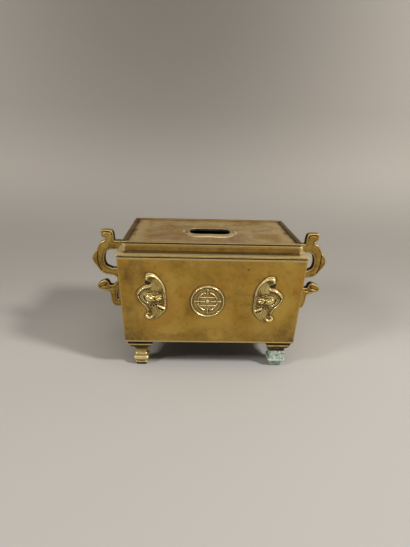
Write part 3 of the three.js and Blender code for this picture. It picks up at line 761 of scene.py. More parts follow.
bat = {
    "step": 0.24,
    "sink": 0.15,
    "edge": 1.1,
    "plate": 1.4,
    "start": (1.4, 19.6),
    "leading": [(4.2, 17.4), (8, 12.8), (10.4, 7), (10.9, 1.5), (11.2, -5), (11, -10.6), (8, -15), (4, -18.4)],
    "lowerCurl": [(0.6, -20), (-2.8, -19.6), (-5.6, -17.6), (-4.6, -15.4), (-3.2, -14.4), (-3.6, -11.6)],
    "tail": [(-5.4, -7.8), (-8.4, -4.6), (-10.8, -0.6), (-11.5, 3.2), (-9.6, 6), (-5.8, 9), (-1.6, 10)],
    "upperCurl": [(0.4, 11.6), (-0.6, 13.2), (-4, 14.4), (-4.9, 17.4), (-2.6, 20), (1.4, 19.6)],
    "upperRoll": [(-3.5, 16), (-2.8, 17.8), (-0.4, 18.3), (3.2, 16.9), (7.2, 12.5), (9.5, 7.2), (9.9, 4.6)],
    "lowerRoll": [(-4.4, -16.6), (-2.6, -18.2), (0.2, -17.4), (1.6, -14.6)],
    "lowerEdge": [(2.6, -18.4), (7, -15), (10, -10.8), (10.2, -6)],
    "rightEdge": [(9.4, 2.4), (10, -0.8), (10.1, -4.6)],
    "ridge": [(-10.6, 3.0), (-8.8, 5.5), (-5.6, 8), (-1.4, 9), (0.9, 10.1), (1.9, 12.2)],
    "lowerRidge": [(-10.4, 0.2), (-8, -4), (-5, -7.4), (-3, -10.6), (-2, -12.6)],
    "folds": [
        [(-8.9, 1.6), (-8.2, -1), (-6.2, -3.7), (-3.8, -5.2), (-1.6, -5.8)],
        [(-7.4, 1.6), (-6.9, -0.6), (-5.2, -2.8), (-3.2, -4.2), (-0.8, -4.9)],
    ],
    "creases": [
        [(-4.2, 3.3), (-2.2, 4.1), (0, 4.2), (1.6, 5.2), (4.4, 4.8)],
        [(-9.6, 2.6), (-9.3, -0.2), (-7.4, -3.4), (-4.6, -5.6), (-1.8, -6.6)],
        [(-5.8, 1.4), (-5.7, -0.6), (-4.4, -2.8), (-2.2, -4.2)],
        [(4.6, -5.6), (6.6, -6.2), (8.8, -7.4)],
        [(5.2, -9.6), (7.4, -10.6), (9.6, -11.6)],
    ],
    "fingers": [
        [(1.8, 6.2), (2.9, 8.8), (2.6, 12.0), (1.0, 15.0)],
        [(3.4, 6.4), (4.6, 9.2), (4.2, 12.2), (2.4, 15.2)],
        [(5.0, 6.2), (6.2, 8.8), (5.7, 11.6), (3.9, 14.4)],
        [(6.7, 5.8), (7.7, 7.8), (7.3, 10.0), (5.8, 12.8)],
        [(3.0, -9.8), (3.6, -12.0), (3.0, -14.6), (1.8, -17.2)],
        [(5.0, -10.4), (5.6, -12.2), (4.8, -14.6), (3.2, -17.0)],
        [(7.0, -11.2), (7.2, -12.6), (6.4, -14.2), (5.0, -15.8)],
    ],
    "claw": [(4.9, -7.1), (6.8, -7.9), (8.8, -8.7), (10.3, -9.4)],
    "knobs": {"place": (3.2, 0.2), "half": (6.2, 4.6), "rise": 0.6},
    "pits": [((6.6, 3.3), 1.25), ((-0.6, -7.6), 0.8), ((1.6, -8.0), 0.9), ((3.6, -7.0), 0.9), ((5.4, 0.2), 0.6),
             ((-1.6, -13.4), 1.5), ((6.4, -4.6), 0.8), ((2.4, -1.6), 0.6)],
}


def batHeight(u, v, inward):
    h = bat["plate"] + 0.06 * ripple(13, (5, 3.1, 2.1), u, v)
    h = h + np.maximum(domeAt(u, v, (4.0, 10.4), (4.6, 6.8), 0.6, -0.5), domeAt(u, v, (4.2, -13), (4.8, 5), 0.5, 0.6))
    for path in bat["fingers"]:
        h = h + tubeAt(u, v, throughPoints(path), 0.5, 0.28, (0.7, 1, 1, 0.6))
    tail = domeAt(u, v, (-3.4, 0.6), (8, 8.2), 2.0, 0.5)
    h = blendMax(h, tail, 0.4)
    for path in bat["folds"]:
        h = h + tubeAt(u, v, throughPoints(path), 0.5, 0.6, (0.7, 1, 1, 0.6))
    rolls = [("upperRoll", 1.6, 3.1, (1, 1.05, 0.95, 0.66, 0.6, 0.6, 0.62)), ("lowerRoll", 1.5, 3.0, (1, 1, 0.9, 0.6)),
             ("lowerEdge", 0.8, 2.2, (0.7, 1, 1, 0.8)), ("rightEdge", 0.6, 2.4, (0.8, 1, 0.8)),
             ("ridge", 1.25, 3.1, (1, 1.05, 0.95, 0.8, 0.62, 0.55)), ("lowerRidge", 0.7, 2.4, (1, 1, 0.9, 0.8))]
    for key, width, rise, taper in rolls:
        h = blendMax(h, tubeAt(u, v, throughPoints(bat[key]), width, rise, taper), 0.2)
    h = blendMax(h, domeAt(u, v, (-1.6, -0.9), (4.6, 3.6), 3.0, -0.1, 2.6), 0.25)
    h = blendMax(h, domeAt(u, v, (-3.3, 0.6), (1.4, 1.9), 3.3), 0.3)
    h = blendMax(h, domeAt(u, v, (5.4, -0.8), (3.6, 3.2), 2.5), 0.3)
    knobs = bat["knobs"]
    away = np.hypot((u - knobs["place"][0]) / knobs["half"][0], (v - knobs["place"][1]) / knobs["half"][1])
    h = h + knobs["rise"] * smoothStep(1.1, 0.6, away) * ripple(17, (2.8, 2.2, 1.7), u, v)
    for path in bat["creases"]:
        h = h - grooveAt(u, v, throughPoints(path), 0.42, 1.0)
    h = blendMax(h, tubeAt(u, v, throughPoints(bat["claw"]), 1.15, 3.2, (0.8, 1, 1, 0.9)), 0.15)
    for place, size in bat["pits"]:
        distance = np.hypot(u - place[0], v - place[1])
        h = h - np.maximum(h - 0.4, 0) * np.exp(-(distance / size) ** 4)
    side = np.clip(inward / 0.5, 0, 1)
    cap = bat["edge"] + (3.3 - bat["edge"]) * np.sqrt(1 - (1 - side) ** 2)
    h = np.minimum(np.maximum(h, 0.4), cap)
    return np.minimum(h, 3.3), np.full(len(u), -bat["sink"])


batOutline = outlineFrom([
    ("line", [bat["start"]]), ("curve", bat["leading"]), ("curve", bat["lowerCurl"]),
    ("curve", bat["tail"]), ("curve", bat["upperCurl"]),
])


def makeBat():
    low, high = batOutline.min(0) - 0.5, batOutline.max(0) + 0.5
    return reliefMesh(lambda u, v: signedDistance(u, v, batOutline), batHeight, low, high, bat["step"])


roundel = {
    "radius": 13.4, "step": 0.22, "sink": 0.15, "field": 1.0, "rimRise": 1.05, "rimWidth": 0.95,
    "ringRadius": 10.6, "barRise": 0.75, "barHalf": 0.42, "arcRadius": 8.3, "arcSweep": 1.0,
    "bars": [((-5.8, 3.6), (5.8, 3.6)), ((-5.8, -3.6), (5.8, -3.6)), ((-6.1, 0), (-2.7, 0)),
             ((2.7, 0), (6.1, 0)), ((-10.3, 0), (-7.5, 0)), ((7.5, 0), (10.3, 0)), ((0, 6.6), (0, 10.2)),
             ((0, -6.6), (0, -10.2))],
    "boss": 1.9,
}


def roundelHeight(u, v, inward):
    spread = np.hypot(u, v)
    h = np.full(len(u), roundel["field"])
    h = h + 0.12 * smoothStep(9, 2, spread)

    def ridge(distance, half, rise):
        return rise * smoothStep(half + 0.22, half - 0.22, distance)

    raised = ridge(np.abs(spread - roundel["ringRadius"] + 0.4), 0.2, 0.3)
    for start, end in roundel["bars"]:
        distance, _ = pathDistance(u, v, np.array([start, end], float))
        raised = np.maximum(raised, ridge(distance, roundel["barHalf"], roundel["barRise"]))
    angle = np.arctan2(v, u)
    for quarter in range(4):
        middle = (quarter + 0.5) * math.pi / 2
        turn = np.abs((angle - middle + math.pi) % (2 * math.pi) - math.pi)
        off = np.hypot(spread - roundel["arcRadius"] + 0.5,
                       np.maximum(turn - roundel["arcSweep"] / 2, 0) * roundel["arcRadius"])
        raised = np.maximum(raised, ridge(off, roundel["barHalf"], roundel["barRise"]))
    raised = np.maximum(raised, ridge((np.abs(u) + np.abs(v)) / math.sqrt(2), 1.2, roundel["barRise"] + 0.1))
    h = h + raised
    across = (inward - roundel["rimWidth"] / 2) / (roundel["rimWidth"] / 2 + 0.15)
    h = np.maximum(h, roundel["field"] + roundel["rimRise"] * np.sqrt(np.clip(1 - across ** 2, 0, 1)))
    h = h + 0.05 * ripple(4, (6, 4, 2.7), u, v) + 0.12 * ripple(6, (1.9, 1.5, 1.2, 1.0), u, v)
    edge = np.clip(inward / 0.5, 0, 1)
    cap = 0.9 + 1.3 * np.sqrt(1 - (1 - edge) ** 2)
    return np.minimum(h, cap), np.full(len(u), -roundel["sink"])


def makeRoundel():
    radius = roundel["radius"]
    return reliefMesh(lambda u, v: radius - np.hypot(u, v), roundelHeight,
                      (-radius - 0.5, -radius - 0.5), (radius + 0.5, radius + 0.5), roundel["step"])


# Body

walls = {
    "cornerRadius": 0.9,
    "innerRadius": 0.3,
    "arc": 6,
    "along": (146, 94),
    "rowStep": 1.0,
    "wave": 0.11,
    "topFillet": 0.3,
}
wallNames = ["front_wall", "right_wall", "back_wall", "left_wall"]


# Painted shade with grime in a band up to 2.4 mm round each ornament on the wall, for the shadow the relief casts and
# the dirt at its edge.
def aroundOrnaments(x, z):
    near = np.zeros(len(x))
    for kind, (placeX, drop) in ornamentPlaces.items():
        u, v = x - placeX, z - burner["wallTop"] + drop
        if kind == "roundel":
            outside = np.hypot(u, v) - roundel["radius"]
        else:
            outside = -signedDistance(-u if kind == "bat_right" else u, v, batOutline)
        near = np.maximum(near, smoothStep(2.4, 0.3, outside))
    return near


# Smudges on the long walls: place across and down, half sizes, and how strong. The two tarnish marks of strength 0.85
# are painted shade in the bats' upper notches.

marks = {
    "rubbed": [((-31.5, 61.5), (11.5, 4.6), 0.9), ((3.6, 66), (7, 6), 0.9), ((-26, 35.6), (5.5, 4), 0.8),
               ((-6, 55), (5, 3), 0.5), ((-58, 20), (4, 9), 0.3), ((36, 60), (9, 5), 0.3)],
    "tarnishAndShade": [((28.4, 7.9), (1.6, 1.1), 0.45), ((13.1, 63.4), (1.3, 1.1), 0.4), ((-60, 12), (11, 15), 0.3),
                  ((-63, 52), (8, 18), 0.28), ((53.9, 71), (0.45, 2.6), 0.5), ((51.2, 71), (0.45, 2.6), 0.45),
                  ((-16, 44), (4, 7), 0.22), ((-50.4, 19.6), (2.6, 2.6), 0.85), ((48.2, 21.2), (2.6, 2.6), 0.85),
                  ((20, 30), (5, 12), 0.16), ((-34, 68), (14, 4), 0.3)],
}


def wallMarks(across, drop):
    uneven = 1 + 0.25 * ripple(41, (9, 6, 4), across, drop)
    totals = []
    for kind in ("rubbed", "tarnishAndShade"):
        total = np.zeros(len(across))
        for place, half, strength in marks[kind]:
            away = np.hypot((across - place[0]) / half[0], (drop - place[1]) / half[1]) * uneven
            total = np.maximum(total, strength * smoothStep(1.15, 0.6, away))
        totals.append(total)
    # Painted shade: the walls darken towards the bottom and towards the side corners, less where rubbed.
    low = smoothStep(42, 76, drop + 3 * uneven)
    corner = smoothStep(40, 66, np.abs(across)) * smoothStep(30, 70, drop)
    totals[1] = np.maximum(totals[1], 0.27 * low + 0.14 * corner) * (1 - 0.8 * totals[0])
    return totals


def buildWalls(sizes):
    low, high = burner["floorTop"], burner["wallTop"]
    rows = max(int((high - low) / sizes["rowStep"]), 2)
    heights = np.linspace(low, high - sizes["topFillet"], rows)
    outside = [(wallInset(z), z) for z in heights]
    fillet = sizes["topFillet"]
    outside += [(wallInset(high) + fillet * 0.3, high - fillet * 0.3), (wallInset(high) + fillet, high)]
    thick = sizes["wallThickness"]
    inside = [(wallInset(z) + thick, z) for z in np.linspace(high, low, 30)]
    section = np.array(outside + inside)
    loops = []
    for index, (inset, z) in enumerate(section):
        radius = sizes["cornerRadius"] if index < len(outside) else sizes["innerRadius"]
        loop = rectLoop(halfLength - inset, halfDepth - inset, radius, sizes["arc"], *sizes["along"])
        loops.append(np.column_stack([loop, np.full(len(loop), z)]))
    arc = sizes["arc"]
    starts = []
    offset = 0
    for side in range(4):
        starts.append(offset + arc // 2)
        offset += arc + 1 + sizes["along"][side % 2] - 1
    total = offset
    for side, name in enumerate(wallNames):
        first, last = starts[side], starts[(side + 1) % 4] + (total if side == 3 else 0)
        chosen = [k % total for k in range(first, last + 1)]
        grid = np.array([loop[chosen] for loop in loops])
        across = 0 if side % 2 == 0 else 1
        halfSide = halfLength if across == 0 else halfDepth
        place = grid[:, :, across]
        z = grid[:, :, 2]
        edge = smoothStep(0, 7, halfSide - np.abs(place) - 2) * smoothStep(0, 7, z - low)
        edge = edge * smoothStep(0, 5, high - z)
        outward = np.array([[0, -1], [1, 0], [0, 1], [-1, 0]][side])
        outer = np.arange(len(section)) < len(outside)
        bend = sizes["wave"] * ripple(7 + side, (70, 48, 31, 22, 15), place, z) * edge * outer[:, None]
        grid[:, :, :2] += bend[:, :, None] * outward
        count = len(chosen)
        faces = ringFaces(len(section), count, True, False)
        faces.append(list(range(0, len(section) * count, count)))
        faces.append(list(range(count - 1, len(section) * count, count))[::-1])
        points = grid.reshape(-1, 3)
        flatPlace = points[:, across] * (1 if side == 0 else -1)
        # Cavity on the outer face: painted shade with grime round the ornaments, tarnish marks with the painted shade
        # from wallMarks, and darker along the bottom edge.
        paintedShadeAndTarnish = np.zeros(len(points))
        if across == 0:
            paintedShadeAndTarnish = 0.5 * aroundOrnaments(flatPlace, points[:, 2])
        soot = np.repeat(~outer, count) * (0.55 + 0.35 * smoothStep(80, 30, points[:, 2]))
        outside = np.repeat(outer, count)
        polish = np.zeros(len(points))
        if across == 0:
            rubbed, tarnishAndShade = wallMarks(flatPlace, high - points[:, 2])
            polish = 0.8 * rubbed
            paintedShadeAndTarnish = np.maximum(paintedShadeAndTarnish, tarnishAndShade)
        foot = smoothStep(low + 2.6, low + 1.4, points[:, 2])
        paintedShadeAndTarnish = np.maximum(paintedShadeAndTarnish, 0.25 * foot)
        upperEdge = smoothStep(high - 1.3, high - 0.6, points[:, 2]) * smoothStep(30, 38, flatPlace) * (side == 0)
        addPiece(name.replace("_", "") + "Panel", points, faces, "wallBrass", "burner", [name], rounds=5,
                 reach=0.12, extra={"cavity": paintedShadeAndTarnish * outside, "soot": soot, "bare": polish * outside,
                                    "wear": 0.6 * upperEdge * outside - foot})


buildWalls({**walls, "wallThickness": burner["wallThickness"]})
print("walls built")

floorSizes = {"edgeFillet": 0.7, "cornerRadius": 0.9, "arc": 6, "along": (60, 40)}


def buildFloor(sizes):
    low, high = burner["footHeight"], burner["floorTop"]
    fillet = sizes["edgeFillet"]
    section = filletLoop([
        (30, low, 0), (wallInset(low), low, fillet), (wallInset(high), high, 0), (30, high, 0),
    ], steps=6, closed=False)
    section = np.array([section[0], *[(inset, low) for inset in (14, 7)], *section[1:-1],
                        *[(inset, high) for inset in (7, 14)], section[-1]])
    rows = []
    for inset, z in section:
        radius = max(sizes["cornerRadius"] - inset + wallInset(low), 0.2)
        loop = rectLoop(halfLength - inset, halfDepth - inset, radius, sizes["arc"], *sizes["along"])
        rows.append(np.column_stack([loop, np.full(len(loop), z)]))
    count = len(rows[0])
    faces = ringFaces(len(rows), count, False, True)
    faces.append(list(range(count))[::-1])
    faces.append(list(range(count * (len(rows) - 1), count * len(rows))))
    points = np.concatenate(rows)
    depthIn = np.repeat(section[:, 0], count)
    soot = 0.9 * (points[:, 2] > high - 0.01) * (depthIn > wallInset(high) + 1)
    under = 0.9 * smoothStep(low + 0.75, low + 0.35, points[:, 2])
    worn = 0.5 * smoothStep(low + 0.9, low + 1.2, points[:, 2]) * (depthIn < wallInset(low) + 0.5)
    addPiece("floorPlate", points, faces, "wallBrass", "burner", ["floor_plate"], rounds=3, reach=0.12,
             extra={"soot": soot, "cavity": under, "wear": worn})


buildFloor(floorSizes)

rimSizes = {
    "groove": 2.2, "grooveHeight": 1.7, "lipHeight": 0.75, "flangeWidth": 9, "flangeThickness": 1.7,
    "edgeFillet": 0.45, "cornerRadius": 1.3,
}


def buildRim(sizes):
    top, bottom = burner["rimTop"], burner["wallTop"]
    edge = bottom + sizes["grooveHeight"]
    width, inner = sizes["flangeWidth"], burner["rimOverhang"] + burner["wallThickness"]
    under = top - sizes["flangeThickness"]
    fillet = sizes["edgeFillet"]
    section = filletLoop([
        (burner["rimOverhang"] + 0.02, bottom, 0), (burner["rimOverhang"] + 0.02, bottom + sizes["lipHeight"], 0.2),
        (sizes["groove"], bottom + sizes["lipHeight"], 0.1), (sizes["groove"], edge, 0.1), (0, edge, 0.3),
        (0, top, fillet),
        (3, top, 0.4), (6, top - 0.05, 0.4), (width, top - 0.1, 0.35), (width, under, 0.3),
        (inner, under, 0.2), (inner, bottom, 0),
    ], steps=4)

    # Painted light and shade on the rim: the flange under the lid's overhang is painted dark as its shadow, the lip
    # below the groove darker as shade, the top flat in front of the lid lighter against the lid's shade, and the outer
    # top corner unrubbed to tone down its highlight. The outer face is painted lighter, the groove dark and the inside
    # sooty.
    def shade(inset, points):
        z = points[:, 2]
        covered = smoothStep(5.8, 8, inset) * (z > top - 0.5)
        inside = (inset > inner - 0.1) & (z < top - 0.5)
        inGroove = (z < edge + 0.05) & (z > bottom + sizes["lipHeight"] - 0.05) & (inset < inner - 0.1)
        inGroove = inGroove & (inset > burner["rimOverhang"] + 0.1)
        lip = (z < bottom + sizes["lipHeight"] + 0.1) & (inset < burner["rimOverhang"] + 0.3)
        face = smoothStep(edge + 0.2, edge + 0.6, z) * (inset < 0.1)
        flat = (z > top - 0.3) * smoothStep(0.3, 0.8, inset) * smoothStep(6.4, 5.4, inset)
        corner = (z > top - 0.6) & (inset < 0.35)
        return {"cavity": 1.0 * inGroove + 0.75 * lip,
                "soot": 0.95 * covered + 0.8 * inside + 0.25 * inGroove,
                "wear": 0.35 * face + 0.7 * flat - 0.5 * corner - 0.4 * lip}

    frameRing("rimFrame", section, "rimBrass", "burner", ["rim_frame"], shade=shade,
              cornerRadius=sizes["cornerRadius"], along=(110, 72), wave=0.04, seed=5, rounds=4, reach=0.1)


buildRim(rimSizes)
print("floor and rim built")


# Lid

lidSizes = {
    "inset": 4.4, "beadProud": 0.35, "groove": 0.5, "bandThickness": 1.8, "borderWidth": 4,
    "beadDrop": 1.6, "beadHeight": 1.1, "lipHeight": 0.6, "cornerRadius": 2.4, "edgeFillet": 0.25,
    "seatStart": 6.2, "skirtOutside": 9.5, "skirtThickness": 1.5, "skirtDrop": 6, "seatThickness": 3.5,
}


def buildLidBorder(sizes):
    inset, proud = sizes["inset"], sizes["beadProud"]
    top, bottom, plate = burner["lidTop"], burner["lidBottom"], burner["plateTop"]
    beadTop = top - sizes["beadDrop"]
    beadBottom = beadTop - sizes["beadHeight"]
    lipBottom = top - sizes["lipHeight"]
    inside = inset + sizes["bandThickness"]
    lip = inset + sizes["borderWidth"]
    fillet = sizes["edgeFillet"]
    deep = inset + sizes["groove"] + 0.3
    section = filletLoop([
        (inset + proud, bottom, 0.25), (inset + proud, bottom + 1.5, 0.8), (inset + 0.25, beadBottom, 0.3),
        (deep, beadBottom + 0.1, 0.1), (deep, lipBottom, 0.1), (inset + 0.2, lipBottom, 0.15),
        (inset + 0.3, top, fillet), (inset + 2, top - 0.05, 0.3), (lip, top - 0.1, 0.35),
        (lip + 0.15, plate, 0.1), (inside, plate, 0), (inside, bottom, 0.2),
    ], steps=4)

    # Painted shade: the band's lowest 0.9 mm and its underside are painted dark, over the shadowed gap above the rim.
    # The side borders' tops are painted darker and unrubbed and the front border's top lighter; the groove is painted
    # dark and the hidden inner face sooty.
    def shade(place, points):
        z = points[:, 2]
        inGroove = (place > inset + 0.3) & (place < inside - 0.4) & (z < lipBottom + 0.1) & (z > beadTop - 0.1)
        hidden = (place > inside - 0.1) & (z < plate + 0.1) & (z > bottom - 0.1) & (place < inside + 0.1)
        low = smoothStep(bottom + 0.9, bottom, z) * (place < inside - 0.3)
        acrossX = halfLength - np.abs(points[:, 0])
        acrossY = halfDepth - np.abs(points[:, 1])
        side = smoothStep(-0.6, 0.6, acrossY - acrossX) * smoothStep(inset + 0.6, inset + 1.2, place)
        side = side * (z > plate - 0.1)
        front = (z > lipBottom + 0.1) * smoothStep(0.6, -0.6, acrossY - acrossX) * (points[:, 1] < 0)
        return {"cavity": 1.0 * inGroove + 0.7 * low + 0.5 * side,
                "soot": 0.9 * hidden + 0.4 * (z < bottom + 0.02) + 0.3 * inGroove,
                "wear": 0.35 * front - 0.7 * side}

    frameRing("lidBorder", section, "bandBrass", "lid", ["lid_border"], cornerRadius=sizes["cornerRadius"],
              along=(110, 72), wave=0.05, seed=11, shade=shade, rounds=4, reach=0.1)


def makeBeadTree():
    tree, given, result = newGroup("beadAlongFrame", "GeometryNodeTree", [
        ("Geometry", "NodeSocketGeometry", None),
        ("Width", floatSocket, 0.14),
        ("Depth", floatSocket, 0.09),
        ("Corner Radius", floatSocket, 0.002),
        ("Bead Radius", floatSocket, 0.0005),
        ("Height", floatSocket, 0.1),
        ("Material", "NodeSocketMaterial", None),
    ], [("Geometry", "NodeSocketGeometry")])
    path = makeNode(tree, "GeometryNodeCurvePrimitiveQuadrilateral", {0: given["Width"], 1: given["Depth"]})
    rounded = makeNode(tree, "GeometryNodeFilletCurve", {"Curve": path.outputs[0], "Count": 6,
                                                         "Radius": given["Corner Radius"]}, mode="POLY")
    even = makeNode(tree, "GeometryNodeResampleCurve", {"Curve": rounded.outputs[0], "Length": 0.0011},
                    mode="LENGTH")
    ring = makeNode(tree, "GeometryNodeCurvePrimitiveCircle", {"Resolution": 14, "Radius": given["Bead Radius"]})
    tube = makeNode(tree, "GeometryNodeCurveToMesh", {"Curve": even.outputs[0],
                                                      "Profile Curve": ring.outputs[0]})
    lift = makeNode(tree, "ShaderNodeCombineXYZ", {2: given["Height"]})
    placed = makeNode(tree, "GeometryNodeTransform", {"Geometry": tube.outputs[0], "Translation": lift.outputs[0]})
    joined = makeNode(tree, "GeometryNodeJoinGeometry")
    tree.links.new(placed.outputs[0], joined.inputs[0])
    tree.links.new(given["Geometry"], joined.inputs[0])
    real = makeNode(tree, "GeometryNodeRealizeInstances", {"Geometry": joined.outputs[0]})
    coated = makeNode(tree, "GeometryNodeSetMaterial", {"Geometry": real.outputs[0],
                                                        "Material": given["Material"]})
    tree.links.new(coated.outputs[0], result["Geometry"])
    return tree


def buildLidBead(sizes):
    radius = sizes["beadHeight"] / 2
    inset = sizes["inset"] + radius
    made = meshFromTree(bpy.data.meshes.new("lidBead"), makeBeadTree(), {
        "Width": 0.002 * (halfLength - inset), "Depth": 0.002 * (halfDepth - inset),
        "Corner Radius": 0.001 * (sizes["cornerRadius"] - 0.3), "Bead Radius": 0.001 * radius,
        "Height": 0.001 * (burner["lidTop"] - sizes["beadDrop"] - radius), "Material": materials["bandBrass"],
    })
    made.name = "lidBead"
    # The whole bead is painted lighter, partly as rubbing and partly as a painted highlight.
    finishPiece("lidBead", made, "bandBrass", "lid", ["lid_border"], rounds=2, reach=0.2,
                extra={"wear": np.full(len(made.vertices), 0.35)})


def buildLidSeat(sizes):
    top, outside = burner["rimTop"] + sizes["seatThickness"], sizes["skirtOutside"]
    inside, low = outside + sizes["skirtThickness"], burner["rimTop"] - sizes["skirtDrop"]
    section = filletLoop([
        (sizes["seatStart"], burner["rimTop"] + 0.02, 0.3), (sizes["seatStart"], top, 0.3),
        (inside, top, 0.4), (inside, low, 0.4), (outside, low, 0.4),
        (outside, burner["rimTop"] + 0.02, 0.3),
    ], steps=3)
    ring = frameRing("lidSeat", section, "lidBrass", "lid", ["lid_seat"], cornerRadius=4,
                     along=(60, 40), wave=0, seed=3, rounds=3, reach=0.2)
    # Painted shade with soot: the whole seat is painted dark, as it sits in the shadowed gap under the lid's band.
    paint(ring.data, "soot", np.full(len(ring.data.vertices), 0.7))


vent = {
    "length": 34.8, "depth": 20.4, "frameWidth": (5.8, 8), "frameThickness": 0.95, "centre": (-1.1, -4.8),
    "lobes": 6, "lobeDepth": 0.05, "blunt": 4.4, "around": 288,
}


def lobedLoop(sizes, angles, share=0.0, soften=0.0):
    lobe = np.abs(np.cos(sizes["lobes"] * angles / 2))
    lobe = np.sqrt(lobe ** 2 + soften ** 2) / math.sqrt(1 + soften ** 2)
    blunt = sizes["blunt"]
    sides = (np.abs(np.cos(angles)) ** blunt + np.abs(np.sin(angles)) ** blunt) ** (1 / blunt)
    scale = (1 - sizes["lobeDepth"] * (1 - lobe)) / sides
    halfX = sizes["length"] / 2 + share * sizes["frameWidth"][0]
    halfY = sizes["depth"] / 2 + share * sizes["frameWidth"][1]
    return np.column_stack([sizes["centre"][0] + halfX * scale * np.cos(angles),
                            sizes["centre"][1] + halfY * scale * np.sin(angles)])


def buildLidPlate(sizes):
    inset = lidSizes["inset"] + lidSizes["bandThickness"] - 0.2
    halfX, halfY = halfLength - inset, halfDepth - inset
    centre = np.array(sizes["centre"])
    angles = np.linspace(0, 2 * math.pi, sizes["around"], endpoint=False)
    for cornerX, cornerY in ((-1, -1), (1, -1), (1, 1), (-1, 1)):
        corner = math.atan2(cornerY * halfY - centre[1], cornerX * halfX - centre[0]) % (2 * math.pi)
        angles[np.argmin(np.abs(angles - corner))] = corner
    inner = lobedLoop(sizes, angles, soften=0.12)
    rays = np.column_stack([np.cos(angles), np.sin(angles)])
    rays = np.where(np.abs(rays) < 1e-9, 1e-9, rays)
    reach = ((np.sign(rays) * (halfX, halfY) - centre) / rays).min(1)
    outer = centre + reach[:, None] * rays
    shares = np.linspace(0, 1, 26) ** 1.3
    top, bottom = burner["plateTop"], burner["plateBottom"]
    rows = []
    for share in shares:
        loop = (1 - share) * inner + share * outer
        fade = smoothStep(0, 0.15, share) * smoothStep(1, 0.85, share)
        dish = -0.12 * math.sin(math.pi * share)
        z = top + dish + 0.09 * fade * ripple(21, (60, 41, 29, 18), loop[:, 0], loop[:, 1])
        rows.append(np.column_stack([loop, z]))
    for share in shares[::-1]:
        loop = (1 - share) * inner + share * outer
        rows.append(np.column_stack([loop, np.full(len(loop), bottom)]))
    points = np.concatenate(rows)
    faces = ringFaces(len(rows), len(angles), True, True)
    below = (np.arange(len(rows)) >= len(shares)).repeat(len(angles))
    # Darker near the side borders and the back, lighter in a band inside the side borders and along the front; the
    # underside and the hole's edge are sooty.
    uneven = 1.6 * ripple(51, (17, 9, 5.5, 3.1), points[:, 0], points[:, 1])
    fromSide = halfX - np.abs(points[:, 0])
    fromEnd = np.where(points[:, 1] > 0, halfY - points[:, 1], 30)
    darkerNearBorders = np.maximum(smoothStep(7, 3, fromSide + uneven), 0.5 * smoothStep(7, 2.5, fromEnd + uneven))
    lighterInsideBorders = smoothStep(4, 7, fromSide + uneven) * smoothStep(17, 9, fromSide + 1.5 * uneven)
    strip = smoothStep(10, 5, halfY + points[:, 1] + uneven)
    atHole = (np.arange(len(rows)) == 0).repeat(len(angles))
    addPiece("lidPlate", points, faces, "lidBrass", "lid", ["lid_plate"], rounds=2, reach=0.2,
             extra={"soot": np.maximum(below, atHole), "cavity": 0.6 * darkerNearBorders * ~below,
                    "bare": np.maximum(0.8 * lighterInsideBorders, 0.6 * strip) * ~below})


def buildVentFrame(sizes):
    angles = np.linspace(0, 2 * math.pi, sizes["around"], endpoint=False)
    plate, rise = burner["plateTop"], sizes["frameThickness"]
    profile = [(0.0, -1.2), (0.0, 0.3), (0.02, 0.7), (0.07, 0.95), (0.14, 1.0), (0.24, 0.95), (0.36, 0.8),
               (0.48, 0.66), (0.58, 0.6), (0.68, 0.62), (0.78, 0.6), (0.88, 0.42), (0.96, 0.12), (1.0, -0.2),
               (0.5, -0.35)]
    rows = []
    for share, lift in profile:
        depth = sizes["lobeDepth"] * (1 + 1.8 * share)
        shape = {**sizes, "lobeDepth": depth, "blunt": sizes["blunt"] - 1.4 * share}
        loop = lobedLoop(shape, angles, share, soften=0.1 + 0.15 * share)
        rows.append(np.column_stack([loop, np.full(len(loop), plate + lift * rise)]))
    faces = ringFaces(len(rows), len(angles), True, True)
    lifts = np.repeat([lift for _, lift in profile], len(angles))
    shares = np.repeat([share for share, _ in profile], len(angles))
    soot = 1.0 * (lifts < 0.35) * (shares < 0.01)
    # Painted light and shade: the frame's near side is painted lighter and its far side darker, its two end tips carry
    # painted highlights, and light rubbing runs all round; the hole's inner wall is sooty.
    turns = np.tile(angles, len(profile))
    nearSide = smoothStep(-0.35, -0.75, np.sin(turns))
    tips = smoothStep(0.985, 0.998, np.abs(np.cos(turns))) * smoothStep(0.6, 0.75, shares)
    slope = smoothStep(0.1, 0.25, shares) * smoothStep(1, 0.9, shares)
    points = np.concatenate(rows)
    worn = 0.9 * tips + (1.0 * nearSide + 0.1) * slope * (1 + 0.3 * ripple(61, (9, 6, 4), *points.T[:2]))
    cavity = np.interp(shares, (0, 0.4, 0.57, 0.7, 0.88, 1), (0, 0.2, 0.4, 0.25, 0.4, 0.6)) * (1 - nearSide)
    addPiece("ventFrame", points, faces, "lidBrass", "lid", ["vent_frame"], rounds=3, reach=0.4,
             extra={"soot": soot, "wear": worn, "cavity": cavity})


buildLidBorder(lidSizes)
buildLidBead(lidSizes)
buildLidSeat(lidSizes)
buildLidPlate(vent)
buildVentFrame(vent)
print("lid built")


# Feet: square all the way down, drawn as half widths going up

